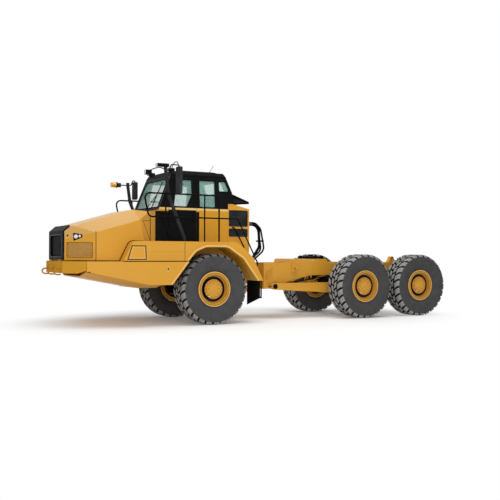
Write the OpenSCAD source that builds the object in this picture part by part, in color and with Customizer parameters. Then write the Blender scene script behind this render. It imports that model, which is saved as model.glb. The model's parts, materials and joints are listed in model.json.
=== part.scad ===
// Articulated hauler without its dump body: a tractor with a tilting hood and a cab, a hitch that
// steers and rolls, and a long rear frame on two driven axles.
// X points forward, Y to the left and Z up. Each piece is drawn from the front axle line on the
// ground, and from_axle() then moves it so that the origin lies under the middle of the length.

/* [Wheels and axles] */
// Outside diameter of a tyre over its lugs
tyre_d = 1617; // [1560:1:1660]
// Section width of a tyre
tyre_w = 600; // [560:1:630]
// Diameter over the rim flange
rim_d = 800; // [740:1:860]
// Width over the rim flanges
rim_w = 496; // [460:1:510]
// Distance between the middles of the left and the right tyres
track = 2275; // [2250:5:2320]
// Front axle to middle axle
wheelbase = 4250; // [4200:10:4500]
// Middle axle to rear axle
axle_gap = 1800; // [1750:5:1900]
// Radius of an axle tube
axle_r = 130; // [115:1:140]
// Radius of the spindle that carries a hub
spindle_r = 85; // [75:1:95]

/* [Levels] */
// Height of the seam between the hood and the bumper
waist_z = 1445; // [1430:5:1460]
// Height of the walkway over the front wheels
deck_z = 1885; // [1870:5:1910]
// Height of the cab windows' sill
sill_z = 2620; // [2600:5:2660]
// Height of the cab roof
roof_z = 3520; // [3500:5:3560]
// Cab roof down to the top of the cab windows
header_drop = 180; // [160:5:200]
// Height of the middle of the hitch
hitch_z = 1020; // [1000:5:1030]
// Height of the top of the tractor's frame rails
rail_top_z = 1290; // [1280:5:1300]
// Height of the top of the rear frame's beams
beam_top_z = 1400; // [1390:5:1420]

/* [Hood] */
// Front axle to the nose
nose_x = 3240; // [3200:5:3270]
// Width of the nose
nose_w = 1280; // [1200:5:1340]
// Width across the hood's sides
hood_w = 2200; // [2160:5:2240]
// Width of the hood's flat top
hood_top_w = 1520; // [1460:5:1580]
// Height of the hood's top behind the nose
nose_top_z = 2200; // [2180:5:2230]
// Height of the hood's top at the cab
hood_rear_z = 2600; // [2580:5:2620]
// Thickness of the hood's walls with their stiffeners
hood_wall = 36; // [24:1:44]

/* [Cab] */
// Width of the cab at its sill
cab_w = 1700; // [1660:5:1740]
// Front axle to the front of the cab
cab_front_x = 1250; // [1230:5:1270]
// Front axle back to the rear wall of the cab
cab_back = 600; // [580:5:620]
// Thickness of the cab's walls and door
cab_wall = 60; // [50:1:70]
// Thickness of the panes
glass_t = 8; // [6:1:12]
// Width of the door
door_w = 700; // [670:5:720]

/* [Tractor] */
// Width over the fenders
body_w = 2880; // [2850:5:2920]
// Front axle to the front of the bumper
bumper_x = 3300; // [3285:5:3340]
// Width of the bumper's flat front
bumper_flat_w = 1440; // [1380:5:1500]
// Thickness of the fender and skirt panels
panel_t = 40; // [30:1:50]
// Front axle back to the steering pivot
hitch_back = 1450; // [1420:5:1480]
// Radius of the handrails
rail_r = 19; // [16:1:22]
// Height of the handrails above the walkway
guard_h = 1055; // [1000:5:1100]

/* [Rear frame] */
// Length of the rear frame from its bulkhead to its tail
frame_l = 4600; // [4550:10:4800]
// Width over the rear frame's beams
frame_w = 920; // [900:5:940]
// Width of one beam
beam_w = 120; // [100:1:130]
// Radius of the shaft that the rear frame rolls on
roll_r = 165; // [155:1:175]
// Radius of the bores for the body's hinge pins
hinge_r = 45; // [35:1:50]
// Radius of the pins for the hoist cylinders
hoist_r = 40; // [30:1:45]

/* [Hidden] */
$fn = 48;

// Clearances and one overrun for all cuts
over = 20;
seam = 8;
fit = 0.3;
run = 0.05;
step_gap = 6;

// Places along the length, from the front axle
hitch_x = -hitch_back;
mid_x = -wheelbase;
tail_x = -wheelbase - axle_gap;
axle_z = tyre_d / 2;
tow_out = 150;
front_reach = bumper_x + tow_out;
rear_reach = wheelbase + axle_gap + tyre_d / 2;
front_axle_x = (rear_reach - front_reach) / 2;
body_half = body_w / 2;
hood_half = hood_w / 2;
header_z = roof_z - header_drop;
cab_half = cab_w / 2;

module from_axle() translate([front_axle_x, 0, 0]) children();

// Columns: name, distance from the front axle, side
WHEELS = [
    ["front_left", 0, 1], ["front_right", 0, -1],
    ["mid_left", mid_x, 1], ["mid_right", mid_x, -1],
    ["rear_left", tail_x, 1], ["rear_right", tail_x, -1]
];
PLAIN_NODES = [
    "front_frame", "bumper", "tow_eyes", "side_skirts", "belly_guard", "fenders", "mud_flaps",
    "lower_steps",
    "front_axle", "front_struts", "engine", "radiator", "hood", "grille", "headlamps",
    "nose_meshes", "cowl", "cab_shell", "cab_roof", "cab_glass", "cab_door", "door_glass",
    "operator_seat", "dashboard", "rear_housing", "rear_louvres", "rear_shade", "handrails",
    "mirror_masts", "mirrors", "lamps", "beacon", "hoses", "hitch_yoke",
    "left_barrel", "right_barrel", "left_rod", "right_rod", "rear_frame", "hoist_saddle",
    "walking_beams", "link_arms", "rear_axles", "drive_shafts"
];

paint = "#d9a03a";
black = "#25272a";
steel = "#8d9094";
tinted = "#9fc4bb";

// Helpers for outlines and placing

function unit(v) = v / norm(v);
function inward(a, b) = [-(b - a)[1], (b - a)[0]] / norm(b - a);
function wrap(points, i) = points[(i + len(points)) % len(points)];

// Each edge of a counter-clockwise outline moved inwards by its own distance
function inset(points, depths) = [
    for (i = [0 : len(points) - 1])
        let (n1 = inward(wrap(points, i - 1), points[i]),
             n2 = inward(points[i], wrap(points, i + 1)),
             d1 = wrap(depths, i - 1),
             d2 = depths[i],
             det = n1[0] * n2[1] - n1[1] * n2[0])
        points[i] + [d1 * n2[1] - d2 * n1[1], n1[0] * d2 - n2[0] * d1] / det
];
function all_edges(points, d) = [for (p = points) d];
// An open path moved to its right by d, square to the chords beside each point
function inset_path(path, d) = [
    for (i = [0 : len(path) - 1])
        path[i] + d * inward(path[max(i - 1, 0)], path[min(i + 1, len(path) - 1)])
];
function reversed(points) = [for (i = [len(points) - 1 : -1 : 0]) points[i]];

// A corner rounded by an arc in short chords
function corner(a, b, c, r, chords) =
    let (u = unit(a - b), v = unit(c - b), half = acos(u * v) / 2,
         centre = b + unit(u + v) * r / sin(half),
         start = b + u * r / tan(half) - centre,
         stop = b + v * r / tan(half) - centre,
         first = atan2(start[1], start[0]),
         turn = (atan2(stop[1], stop[0]) - first + 540) % 360 - 180)
    [for (i = [0 : chords]) centre + r * [cos(first + turn * i / chords), sin(first + turn * i / chords)]];
function rounded(points, r, chords = 5) = [
    for (i = [0 : len(points) - 1])
        each corner(wrap(points, i - 1), points[i], wrap(points, i + 1), r, chords)
];

module both_sides() {
    children();
    mirror([0, 1, 0]) children();
}

// An outline in X and Z made solid from y0 to y1
module across(y0, y1) translate([0, y1, 0]) rotate([90, 0, 0]) linear_extrude(y1 - y0) children();
// An outline in Y and Z made solid from x0 to x1
module along(x0, x1) translate([x0, 0, 0]) rotate([90, 0, 90]) linear_extrude(x1 - x0) children();
// An outline in X and Y made solid from z0 to z1
module upright(z0, z1) translate([0, 0, z0]) linear_extrude(z1 - z0) children();
module block(low, high) translate(low) cube(high - low);

module rod_between(a, b, r) {
    d = b - a;
    translate(a) rotate([0, acos(d[2] / norm(d)), atan2(d[1], d[0])]) cylinder(h = norm(d), r = r);
}

// A round tube along a path in X and Z at one y, each inner corner bent to one radius
function bent_path(path, bend, chords = 5) = concat(
    [path[0]],
    [for (i = [1 : 1 : len(path) - 2]) each corner(path[i - 1], path[i], path[i + 1], bend, chords)],
    [path[len(path) - 1]]);

module bent_tube(path, y, r, bend, sides = 10) {
    p = bent_path(path, bend);
    last = len(p) - 1;
    rings = [for (i = [0 : last])
        let (t = unit(p[min(i + 1, last)] - p[max(i - 1, 0)]))
        [for (k = [0 : sides - 1])
            let (a = 360 * k / sides)
            [p[i][0] - t[1] * r * sin(a), y + r * cos(a), p[i][1] + t[0] * r * sin(a)]]];
    walls = [for (i = [0 : last - 1], k = [0 : sides - 1])
        let (n = (k + 1) % sides)
        [i * sides + k, (i + 1) * sides + k, (i + 1) * sides + n, i * sides + n]];
    polyhedron(
        [for (ring = rings) each ring],
        concat([[for (k = [0 : sides - 1]) k]], walls, [[for (k = [sides - 1 : -1 : 0]) last * sides + k]]));
}

// Wheels: a rim with its hub, and a tyre between the rim's flanges

flange_h = 75;
flange_t = 28;
rim_wall = 22;
seat_r = rim_d / 2 - flange_h;
rim_half = rim_w / 2;
hub_in = 100;
hub_out = 188;
hub_r = 232;
well_r = 272;
well_y = 60;
ring_y = 165;
cap_r = 172;
cap_out = 17;
spindle_out = 100;
brake_r = 240;
disc_y = 20;
tread_half_share = 0.437;
shoulder_share = 0.93;
bulge_deg = 62;

module rim() color(paint) rotate([-90, 0, 0]) rotate_extrude() polygon([
    [0, spindle_out], [spindle_r + run, spindle_out], [spindle_r + run, -hub_in], [brake_r, -hub_in],
    [brake_r, disc_y], [seat_r - rim_wall, disc_y], [seat_r - rim_wall, -rim_half],
    [rim_d / 2, -rim_half], [rim_d / 2, flange_t - rim_half], [seat_r, flange_t - rim_half],
    [seat_r, rim_half - flange_t], [rim_d / 2, rim_half - flange_t], [rim_d / 2, rim_half],
    [seat_r, rim_half], [seat_r - rim_wall, ring_y], [well_r, ring_y], [well_r, well_y],
    [hub_r, well_y], [hub_r, hub_out], [cap_r, hub_out], [cap_r, hub_out + cap_out],
    [0, hub_out + cap_out]]);

// Half of the tyre's section, from the bead out to the tread
function sidewall(r_low, r_high, y_low, y_wide, n) = [
    for (i = [0 : n])
        let (a = bulge_deg * (2 * i / n - 1), k = (sin(a) / sin(bulge_deg) + 1) / 2)
        let (m = (cos(a) - cos(bulge_deg)) / (1 - cos(bulge_deg)))
        [r_low + (r_high - r_low) * k, y_low + (y_wide - y_low) * m]
];

lug_count = 26;
lug_h = 36;
groove_w = 44;
rib_groove_w = 22;
rib_share = 0.4;
lug_slant = 14;

// A slot across the tread from the rib groove outwards, or between the two rib grooves
module tread_slot(turn, y0, y1, w, slant) rotate([0, 360 * turn / lug_count, 0])
    translate([0, 0, tyre_d / 2 - lug_h]) rotate([0, 0, slant])
        block([-w / 2, y0, 0], [w / 2, y1, 2 * lug_h]);

module tyre() {
    crown_r = tyre_d / 2;
    bead_y = rim_half - flange_t - fit;
    tread_half = tyre_w * tread_half_share;
    rib_y = tyre_w / 2 * rib_share;
    side = concat(
        [[seat_r + fit, bead_y], [rim_d / 2 + flange_t, bead_y]],
        sidewall(rim_d / 2 + flange_t, crown_r * shoulder_share, bead_y + flange_t, tyre_w / 2, 6),
        [[crown_r - lug_h / 2, tread_half + flange_t], [crown_r, tread_half],
         [crown_r, rib_y + rib_groove_w / 2], [crown_r - lug_h, rib_y + rib_groove_w / 2],
         [crown_r - lug_h, rib_y - rib_groove_w / 2], [crown_r, rib_y - rib_groove_w / 2]]);
    mirrored = [for (q = reversed(side)) [q[0], -q[1]]];
    color(black) difference() {
        rotate([-90, 0, 0]) rotate_extrude($fn = 64) polygon(concat(side, mirrored));
        for (i = [0 : lug_count - 1]) {
            translate([0, rib_y, 0]) tread_slot(i, 0, tyre_w, groove_w, -lug_slant);
            translate([0, -rib_y, 0]) tread_slot(i + 1 / 2, -tyre_w, 0, groove_w, lug_slant);
            tread_slot(i + 1 / 4, -rib_y, rib_y, rib_groove_w, lug_slant);
        }
    }
}

module at_wheel(w) translate([w[1], w[2] * track / 2, axle_z])
    mirror([0, w[2] < 0 ? 1 : 0, 0]) children();

// Axles: a banjo housing with brake flanges, spindles and the pads that springs and beams sit on

axle_end = track / 2 - hub_in - seam;
bowl_r = 320;
bowl_half = 300;
brake_l = 120;
drum_r = 215;
snout_l = 340;
snout_r = 120;
pad_w = 140;
pad_y = 560;
pad_h = 15;
pad_l = 220;

module axle(snouts) {
    rotate([-90, 0, 0]) rotate_extrude() polygon([
        [0, -track / 2 - spindle_out + seam], [spindle_r, -track / 2 - spindle_out + seam],
        [spindle_r, -axle_end], [drum_r, -axle_end], [drum_r, brake_l - axle_end],
        [axle_r, brake_l - axle_end], [axle_r, -bowl_half], [bowl_r, -bowl_half / 3],
        [bowl_r, bowl_half / 3], [axle_r, bowl_half], [axle_r, axle_end - brake_l],
        [drum_r, axle_end - brake_l], [drum_r, axle_end], [spindle_r, axle_end],
        [spindle_r, track / 2 + spindle_out - seam], [0, track / 2 + spindle_out - seam]]);
    for (s = snouts)
        rotate([0, 90 * s, 0]) cylinder(h = bowl_r + snout_l - bowl_half, r = snout_r);
    both_sides() block([-pad_l / 2, pad_y, 0], [pad_l / 2, pad_y + pad_w, axle_r + pad_h]);
}

module front_axle() color(black) translate([0, 0, axle_z]) axle([-1]);

// Tractor frame: two rails, cross tubes, bulkheads that carry the fenders, posts and hitch ears

rail_in = 330;
rail_out = 470;
rail_low_z = 960;
rail_nose_low_z = 1180;
rail_nose_top_z = 1400;
rail_rise_x = 1300;
rail_nose_x = 2300;
rail_end_back = 950;
rail_end_x = -rail_end_back;
bumper_t = 110;
cross_r = 80;
cross_z = 1085;
nose_cross_x = 2780;
mid_cross_x = 1150;
rear_cross_x = -650;
cross_places = [nose_cross_x, mid_cross_x, rear_cross_x];
ear_t = 90;
ear_r = 190;
yoke_h = 530;
pin_r = 60;
web_t = 70;
web_half = 280;
post_w = 100;
rib_x = 1300;
rib_t = 60;
rib_low_z = 1080;
rib_shelf_z = 1400;
strut_bracket_l = 200;
strut_bracket_h = 80;
bracket_x = -910;
bracket_l = 90;
bracket_h = 110;
guard_in = 760;

rail_outline = [
    [rail_end_x, rail_low_z], [rail_rise_x, rail_low_z], [rail_nose_x, rail_nose_low_z],
    [bumper_x - bumper_t, rail_nose_low_z], [bumper_x - bumper_t, rail_nose_top_z],
    [rail_nose_x, rail_nose_top_z], [rail_rise_x, rail_top_z], [rail_end_x, rail_top_z]];

cowl_post_x = 1380;
cab_post_front_x = 1080;
cab_post_rear_x = -420;
housing_post_x = -800;
housing_low_z = 1640;
// Columns: distance from the front axle, height that the post reaches
posts = [
    [cowl_post_x, deck_z + seam], [cab_post_front_x, deck_z + seam], [cab_post_rear_x, deck_z + seam],
    [housing_post_x, housing_low_z]];

steer_arm = [-40, 260];
steer_base = [1150, 520];
steer_z = 860;
eye_r = 62;
eye_h = 60;
steer_pin_r = 30;

module front_frame() color(paint) difference() {
    union() {
        both_sides() {
            across(rail_in, rail_out) polygon(rail_outline);
            for (p = posts)
                block([p[0] - post_w / 2, rail_in, rail_top_z - over],
                      [p[0] + post_w / 2, rail_in + post_w, p[1]]);
            along(rib_x, rib_x + rib_t) polygon([
                [rail_in + over, rib_low_z], [rail_out, rib_low_z],
                [body_half - panel_t, rib_shelf_z - post_w], [body_half - panel_t, deck_z - panel_t],
                [hood_half + 2 * seam, deck_z - panel_t],
                [hood_half + 2 * seam, rib_shelf_z], [rail_in + over, rail_top_z]]);
            block([bracket_x - bracket_l / 2, rail_in + over, rail_top_z - bracket_h],
                  [bracket_x + bracket_l / 2, guard_in, rail_top_z]);
            block([-strut_bracket_l / 2, rail_in + over, rail_top_z - strut_bracket_h],
                  [strut_bracket_l / 2, pad_y + pad_w, rail_top_z]);
            block([hitch_x + steer_base[0] - eye_r, rail_in + over, rail_low_z - (eye_h + step_gap) / 2],
                  [hitch_x + steer_base[0] + eye_r, steer_base[1] + eye_r, rail_low_z + over]);
            translate([hitch_x + steer_base[0], steer_base[1], steer_z - eye_h / 2])
                cylinder(h = rail_low_z - steer_z + eye_h / 2, r = steer_pin_r);
        }
        for (x = cross_places)
            translate([x, 0, x > rail_rise_x ? rail_nose_top_z - cross_r - over : cross_z])
                rotate([90, 0, 0]) cylinder(h = 2 * rail_in + over, r = cross_r, center = true);
        block([rail_end_x - over, -rail_out, rail_low_z], [rail_end_x + web_t, rail_out, rail_top_z]);
        block([rail_end_x - over, -web_half, hitch_z - yoke_h / 2 - ear_t],
              [rail_end_x + web_t, web_half, hitch_z + yoke_h / 2 + ear_t]);
        for (z = [hitch_z - yoke_h / 2 - ear_t, hitch_z + yoke_h / 2]) {
            translate([hitch_x, 0, z]) cylinder(h = ear_t, r = ear_r);
            upright(z, z + ear_t) polygon([
                [hitch_x, -ear_r], [rail_end_x, -web_half], [rail_end_x, web_half], [hitch_x, ear_r]]);
        }
    }
    translate([hitch_x, 0, hitch_z]) cylinder(h = yoke_h + 3 * ear_t, r = pin_r + run, center = true);
}

// Panels round the tractor follow one plan: flat at the wheels, then tapering to the bumper

flank_break_x = 1570;
bumper_seam_x = 2930;
bumper_seam_half = 1230;
fender_rear_x = -1240;
bumper_low_z = 1180;
bumper_heel = [180, 75];
skirt_low_z = 925;
skirt_nose_z = 1215;
arch_low_x = 1075;
arch_waist_x = 675;
wing_low_x = 2160;
wing_top_x = 1943;
wing_round = 130;

flank_plan = [
    [bumper_seam_x, bumper_seam_half], [flank_break_x, body_half], [fender_rear_x, body_half]];

module flank(z0, z1) upright(z0, z1) polygon(concat(
    flank_plan, [for (i = [2 : -1 : 0]) flank_plan[i] - [0, panel_t]]));

// Pins on the hood turn in ears that stand on the bumper
hood_pin_r = 10;
hood_ear_r = 15;
hood_lug_r = 14;
hood_pivot = [bumper_x - hood_lug_r, waist_z + hood_lug_r];
hood_lug_y = 400;
hood_lug_w = 40;
hood_ear_w = 20;
hood_ear_gap = 5;

// The room inside the flanks, reaching half way into their panels
module inside_flank() upright(0, roof_z) polygon([
    [fender_rear_x, 0], [bumper_seam_x - seam, 0], [bumper_seam_x - seam, bumper_seam_half - panel_t / 2],
    [flank_break_x, body_half - panel_t / 2], [fender_rear_x, body_half - panel_t / 2]]);

module bumper() color(paint) difference() {
    outline = [
        [bumper_seam_x, -bumper_seam_half], [bumper_x, -bumper_flat_w / 2],
        [bumper_x, bumper_flat_w / 2], [bumper_seam_x, bumper_seam_half]];
    union() {
        upright(bumper_low_z, waist_z - seam / 2) polygon(outline);
        both_sides() for (k = [-1, 1]) {
            y = hood_lug_y + k * (hood_lug_w / 2 + hood_ear_gap + hood_ear_w / 2);
            across(y - hood_ear_w / 2, y + hood_ear_w / 2) union() {
                translate(hood_pivot) circle(hood_ear_r);
                translate([hood_pivot[0] - hood_ear_r, bumper_low_z])
                    square([2 * hood_ear_r, hood_pivot[1] - bumper_low_z]);
            }
        }
    }
    upright(bumper_low_z - over, waist_z - seam / 4)
        polygon(inset(outline, [bumper_t, bumper_t, bumper_t, -over]));
    translate([hood_pivot[0], 0, hood_pivot[1]]) rotate([90, 0, 0])
        cylinder(h = bumper_flat_w, r = hood_pin_r + run, center = true);
    across(-body_half, body_half) polygon([
        [bumper_seam_x - over, bumper_low_z - over], [bumper_seam_x + bumper_heel[0], bumper_low_z - over],
        [bumper_seam_x - over, bumper_low_z + bumper_heel[1]]]);
}

tow_t = 50;
tow_r = 75;
tow_hole_r = 42;
tow_z = 1210;
tow_y = 540;

module tow_eyes() color(paint) for (y = [-tow_y, 0, tow_y]) difference() {
    across(y - tow_t / 2, y + tow_t / 2) union() {
        translate([front_reach - tow_r, tow_z]) circle(tow_r);
        polygon([
            [bumper_x, tow_z - tow_r], [front_reach - tow_r, tow_z - tow_r],
            [front_reach - tow_r, tow_z + tow_r], [bumper_x, tow_z + tow_r]]);
    }
    translate([front_reach - tow_r, y, tow_z]) rotate([90, 0, 0])
        cylinder(h = tow_t + over, r = tow_hole_r, center = true);
}

splash_t = 30;
skirt_outline = [
    [arch_low_x, skirt_low_z], [flank_break_x, skirt_low_z], [bumper_seam_x - seam, skirt_nose_z],
    [bumper_seam_x - seam, waist_z - seam / 2], [arch_waist_x, waist_z - seam / 2]];

module side_skirts() color(paint) both_sides() {
    intersection() {
        across(0, body_w) polygon(skirt_outline);
        flank(0, roof_z);
    }
    across(guard_in, body_half - panel_t) polygon([
        [arch_low_x, skirt_low_z], [arch_low_x + splash_t, skirt_low_z],
        [arch_waist_x + splash_t, waist_z - seam / 2], [arch_waist_x, waist_z - seam / 2]]);
    intersection() {
        block([wing_low_x - panel_t, hood_half - 2 * panel_t, waist_z - seam / 2 - panel_t],
              [bumper_seam_x, body_half, waist_z - seam / 2]);
        inside_flank();
    }
}

// Under the engine: a dished pan that rises to the bumper
pan_half = 620;
pan_lip_half = 1080;
pan_lip_h = 110;
pan_t = 24;
pan_z = 830;
pan_rear_x = 1120;
pan_nose_x = 2915;
pan_nose_z = 1095;
hanger_x = 2520;
hanger_w = 90;

module pan_section() polygon([
    [-pan_lip_half, pan_lip_h], [-pan_half, 0], [pan_half, 0], [pan_lip_half, pan_lip_h],
    [pan_lip_half, pan_lip_h + pan_t], [pan_half, pan_t], [-pan_half, pan_t],
    [-pan_lip_half, pan_lip_h + pan_t]]);

module belly_guard() color(paint) {
    lap_x = flank_break_x - 2 * pan_t;
    rise = atan2(pan_nose_z - pan_z, pan_nose_x - lap_x);
    run_l = norm([pan_nose_z - pan_z, pan_nose_x - lap_x]);
    translate([0, 0, pan_z]) along(pan_rear_x, flank_break_x) pan_section();
    intersection() {
        translate([lap_x, 0, pan_z]) rotate([0, -rise, 0]) along(pan_t, run_l) pan_section();
        block([pan_rear_x, pan_t - pan_lip_half, 0], [bumper_x, pan_lip_half - pan_t, roof_z]);
    }
    both_sides() {
        block([pan_rear_x, rail_in, pan_z], [pan_rear_x + hanger_w, rail_in + hanger_w, rail_low_z]);
        intersection() {
            block([hanger_x, rail_in, pan_z],
                  [hanger_x + hanger_w, rail_in + hanger_w, rail_nose_low_z - run]);
            translate([lap_x, 0, pan_z]) rotate([0, -rise, 0])
                block([0, 0, pan_t / 2], [run_l, body_half, pan_lip_half]);
        }
    }
}

// Fender: an outer face with its arch, the walkway on top and a guard over the tyre
fender_break_x = -560;
fender_slope_x = -960;
fender_slope_z = 1540;
fender_round = 300;
fender_low_z = 990;
arch_top_z = 1768;
arch_front_x = 494;
arch_front_z = 1663;
arch_flat_front_x = 243;
arch_flat_rear_x = -305;
arch_rear_x = -703;
arch_rear_z = 1508;
arch_end_x = -1094;
arch_bend = 230;
flare_w = 70;
flare_out = 12;
walk_in = cab_half + over;

arch_line = bent_path([
    [arch_waist_x, waist_z + seam / 2], [arch_front_x, arch_front_z], [arch_flat_front_x, arch_top_z],
    [arch_flat_rear_x, arch_top_z], [arch_rear_x, arch_rear_z], [arch_end_x, fender_low_z]], arch_bend, 4);
// The arch moved away from the axle
function arch_grown(d) = [for (p = arch_line) p + d * unit(p - [0, axle_z])];
wing_foot = [wing_low_x, waist_z + seam / 2];
wing_head = [wing_top_x, deck_z];
wing_curve = corner(wing_foot, wing_head, [fender_break_x, deck_z], wing_round, 5);
// The fender's top and its rear leg, from the walkway down
fender_back = bent_path([
    [arch_front_x, deck_z], [fender_break_x, deck_z], [fender_slope_x, fender_slope_z],
    [fender_rear_x, fender_low_z]], fender_round);
fender_face = concat(reversed(arch_line), [wing_foot], wing_curve, fender_back);

module fenders() color(paint) both_sides() {
    intersection() {
        across(0, body_w) polygon(fender_face);
        flank(0, roof_z);
    }
    across(guard_in, body_half - panel_t / 2) polygon(concat(arch_line, reversed(arch_grown(splash_t))));
    across(guard_in, guard_in + splash_t) polygon(arch_line);
    across(body_half - panel_t / 2, body_half + flare_out)
        polygon(concat(arch_line, reversed(arch_grown(flare_w))));
    intersection() {
        union() {
            across(hood_half + 2 * seam, body_half) polygon(concat(
                [wing_foot], wing_curve,
                reversed([for (p = concat([wing_foot], wing_curve)) p - [panel_t, 0]])));
            upright(deck_z - panel_t, deck_z) polygon([
                [arch_front_x, walk_in], [cab_front_x, walk_in], [flank_break_x, hood_half + 2 * seam],
                [wing_top_x - wing_round, hood_half + 2 * seam], [wing_top_x - wing_round, body_half],
                [arch_front_x, body_half]]);
        }
        inside_flank();
    }
    intersection() {
        across(walk_in, body_half - panel_t / 2)
            polygon(concat(fender_back, reversed(inset_path(fender_back, panel_t))));
        block([fender_rear_x, 0, fender_low_z], [bumper_x, body_half, roof_z]);
    }
}

flap_h = 590;
flap_cut = 170;
flap_t = 20;
flap_w = 560;
flap_back = 30;
flap_x = arch_end_x - flap_back;

module mud_flaps() color(black) both_sides() along(flap_x - flap_t, flap_x) polygon([
    [body_half - panel_t - flap_w, fender_low_z], [body_half - panel_t - flap_w, fender_low_z - flap_h],
    [body_half - panel_t, fender_low_z - flap_h + flap_cut], [body_half - panel_t, fender_low_z]]);

// A step hung on straps below the fender's rear leg
step_h = 380;
step_l = 70;
step_strap = 24;
step_tread = 36;
step_in = 980;

module lower_steps() color(black) both_sides() {
    rear = fender_rear_x + flap_t;
    outer = body_half - panel_t;
    for (y = [step_in, outer - step_strap], x = [rear, rear + step_l - step_strap])
        block([x, y, fender_low_z - step_h], [x + step_strap, y + step_strap, fender_low_z]);
    block([rear, step_in, fender_low_z - step_h - step_tread], [rear + step_l, outer, fender_low_z - step_h]);
}

strut_r = 70;
strut_rod_r = 42;
strut_share = 0.55;

module front_struts() color(black) both_sides() {
    low = axle_z + axle_r + pad_h;
    high = rail_top_z - strut_bracket_h;
    translate([0, pad_y + pad_w / 2, low]) cylinder(h = high - low, r = strut_rod_r);
    translate([0, pad_y + pad_w / 2, high - (high - low) * strut_share])
        cylinder(h = (high - low) * strut_share, r = strut_r);
}

// Engine and gearbox in one block, hung on the rails by its feet
engine_rear_x = 1620;
engine_l = 1060;
engine_half = 310;
engine_low_z = 1130;
engine_top_z = 2000;
gearbox_l = 900;
gearbox_half = 250;
gearbox_low_z = 1200;
gearbox_top_z = 1720;
foot_l = 120;
foot_h = 50;

module engine() color(steel) {
    block([engine_rear_x, -engine_half, engine_low_z],
          [engine_rear_x + engine_l, engine_half, engine_top_z]);
    block([engine_rear_x - gearbox_l, -gearbox_half, gearbox_low_z],
          [engine_rear_x, gearbox_half, gearbox_top_z]);
    both_sides() {
        block([engine_rear_x - gearbox_l, 0, rail_top_z],
              [engine_rear_x - gearbox_l + foot_l, rail_out - over, rail_top_z + foot_h]);
        block([engine_rear_x + engine_l - foot_l, 0, rail_nose_top_z],
              [engine_rear_x + engine_l, rail_out - over, rail_nose_top_z + foot_h]);
    }
}

radiator_x = 2840;
radiator_t = 120;
radiator_half = 520;
radiator_top_z = 2040;

module radiator() color(black)
    block([radiator_x, -radiator_half, rail_nose_top_z],
          [radiator_x + radiator_t, radiator_half, radiator_top_z]);

// Hood: the form where a side view, a plan and a chamfered section meet, then hollowed

hood_heel_x = 1590;
hood_rear_x = 1730;
hood_shoulder_x = 2690;
brow_x = 3110;
brow_z = 2090;
chamfer_drop = 260;
surround_t = 28;

hood_heel = [hood_heel_x, deck_z + seam];
hood_foot = [wing_low_x + seam, waist_z + seam / 2];
hood_curve = corner(hood_heel, [wing_top_x + seam, deck_z + seam], hood_foot, wing_round + seam, 5);
hood_side = concat([hood_heel], hood_curve, [
    hood_foot, [nose_x, waist_z + seam / 2], [nose_x, brow_z], [brow_x, nose_top_z],
    [hood_rear_x, hood_rear_z]]);
hood_plan = [
    [hood_heel_x - over, -hood_half], [hood_shoulder_x, -hood_half], [nose_x, -nose_w / 2],
    [nose_x, nose_w / 2], [hood_shoulder_x, hood_half], [hood_heel_x - over, hood_half]];
hood_tilt = atan2(hood_rear_z - nose_top_z, brow_x - hood_rear_x);
chamfer_run = hood_half - hood_top_w / 2;
// The chamfer's line in the tilted section, carried past both of its ends
chamfer_line = [chamfer_run, -chamfer_drop * cos(hood_tilt)];
section_depth = nose_top_z;
hood_section = [
    [-hood_half - chamfer_line[0], -section_depth], [hood_half + chamfer_line[0], -section_depth],
    [hood_top_w / 2 + 2 * chamfer_line[0], 2 * chamfer_line[1]],
    [hood_top_w / 2 - chamfer_line[0] / 4, -chamfer_line[1] / 4],
    [-hood_top_w / 2 + chamfer_line[0] / 4, -chamfer_line[1] / 4],
    [-hood_top_w / 2 - 2 * chamfer_line[0], 2 * chamfer_line[1]]];

// The hood's form with its outer walls moved in by depth and its free edges by open
module hood_form(depth, open) intersection() {
    across(-body_half, body_half)
        polygon(inset(hood_side, concat(
            [open], all_edges(hood_curve, open), [open, depth, depth, depth, open])));
    upright(0, roof_z) polygon(inset(hood_plan, [depth, depth, depth, depth, depth, open]));
    translate([brow_x, 0, nose_top_z]) rotate([0, hood_tilt, 0])
        along(-wheelbase / 2, nose_x - brow_x + body_half)
            polygon(inset(hood_section, [0, depth, depth, depth, depth, depth]));
}

// The facet between the nose and the hood's side: X runs along it, Y up and Z out of it
facet = [hood_shoulder_x - nose_x, hood_half - nose_w / 2];
facet_l = norm(facet);
facet_dir = facet / facet_l;
module on_facet() multmatrix([
    [facet_dir[0], 0, facet_dir[1], nose_x],
    [facet_dir[1], 0, -facet_dir[0], nose_w / 2],
    [0, 1, 0, waist_z],
    [0, 0, 0, 1]]) children();

facet_h = brow_z - waist_z;
// Corners as shares of the facet's length and of the nose's height
lamp_shares = [[0.285, 0.67], [0.575, 0.79], [0.575, 0.89], [0.265, 0.945]];
mesh_shares = [[0.085, 0.15], [0.885, 0.15], [0.885, 0.6], [0.085, 0.6]];
function on_shares(shares) = [for (s = shares) [s[0] * facet_l, s[1] * facet_h]];
lamp_round = 14;
mesh_round = 24;
ledge = 16;
grille_low_z = 1500;
grille_side = 60;
grille_drop = 40;
grille_half = nose_w / 2 - grille_side;
grille_top_z = brow_z - grille_drop;

module facet_plug(points, low, high) translate([0, 0, low]) linear_extrude(high - low) polygon(points);

module hood() color(paint) {
    hood_skin();
    pin_l = hood_lug_w + 2 * (hood_ear_gap + hood_ear_w);
    both_sides() {
        across(hood_lug_y - hood_lug_w / 2, hood_lug_y + hood_lug_w / 2) union() {
            translate(hood_pivot) circle(hood_lug_r);
            translate([nose_x - hood_wall, waist_z + seam / 2])
                square([hood_pivot[0] - nose_x + hood_wall, 2 * (hood_lug_r - seam)]);
        }
        translate([hood_pivot[0], hood_lug_y, hood_pivot[1]]) rotate([90, 0, 0])
            cylinder(h = pin_l, r = hood_pin_r, center = true);
    }
}

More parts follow.
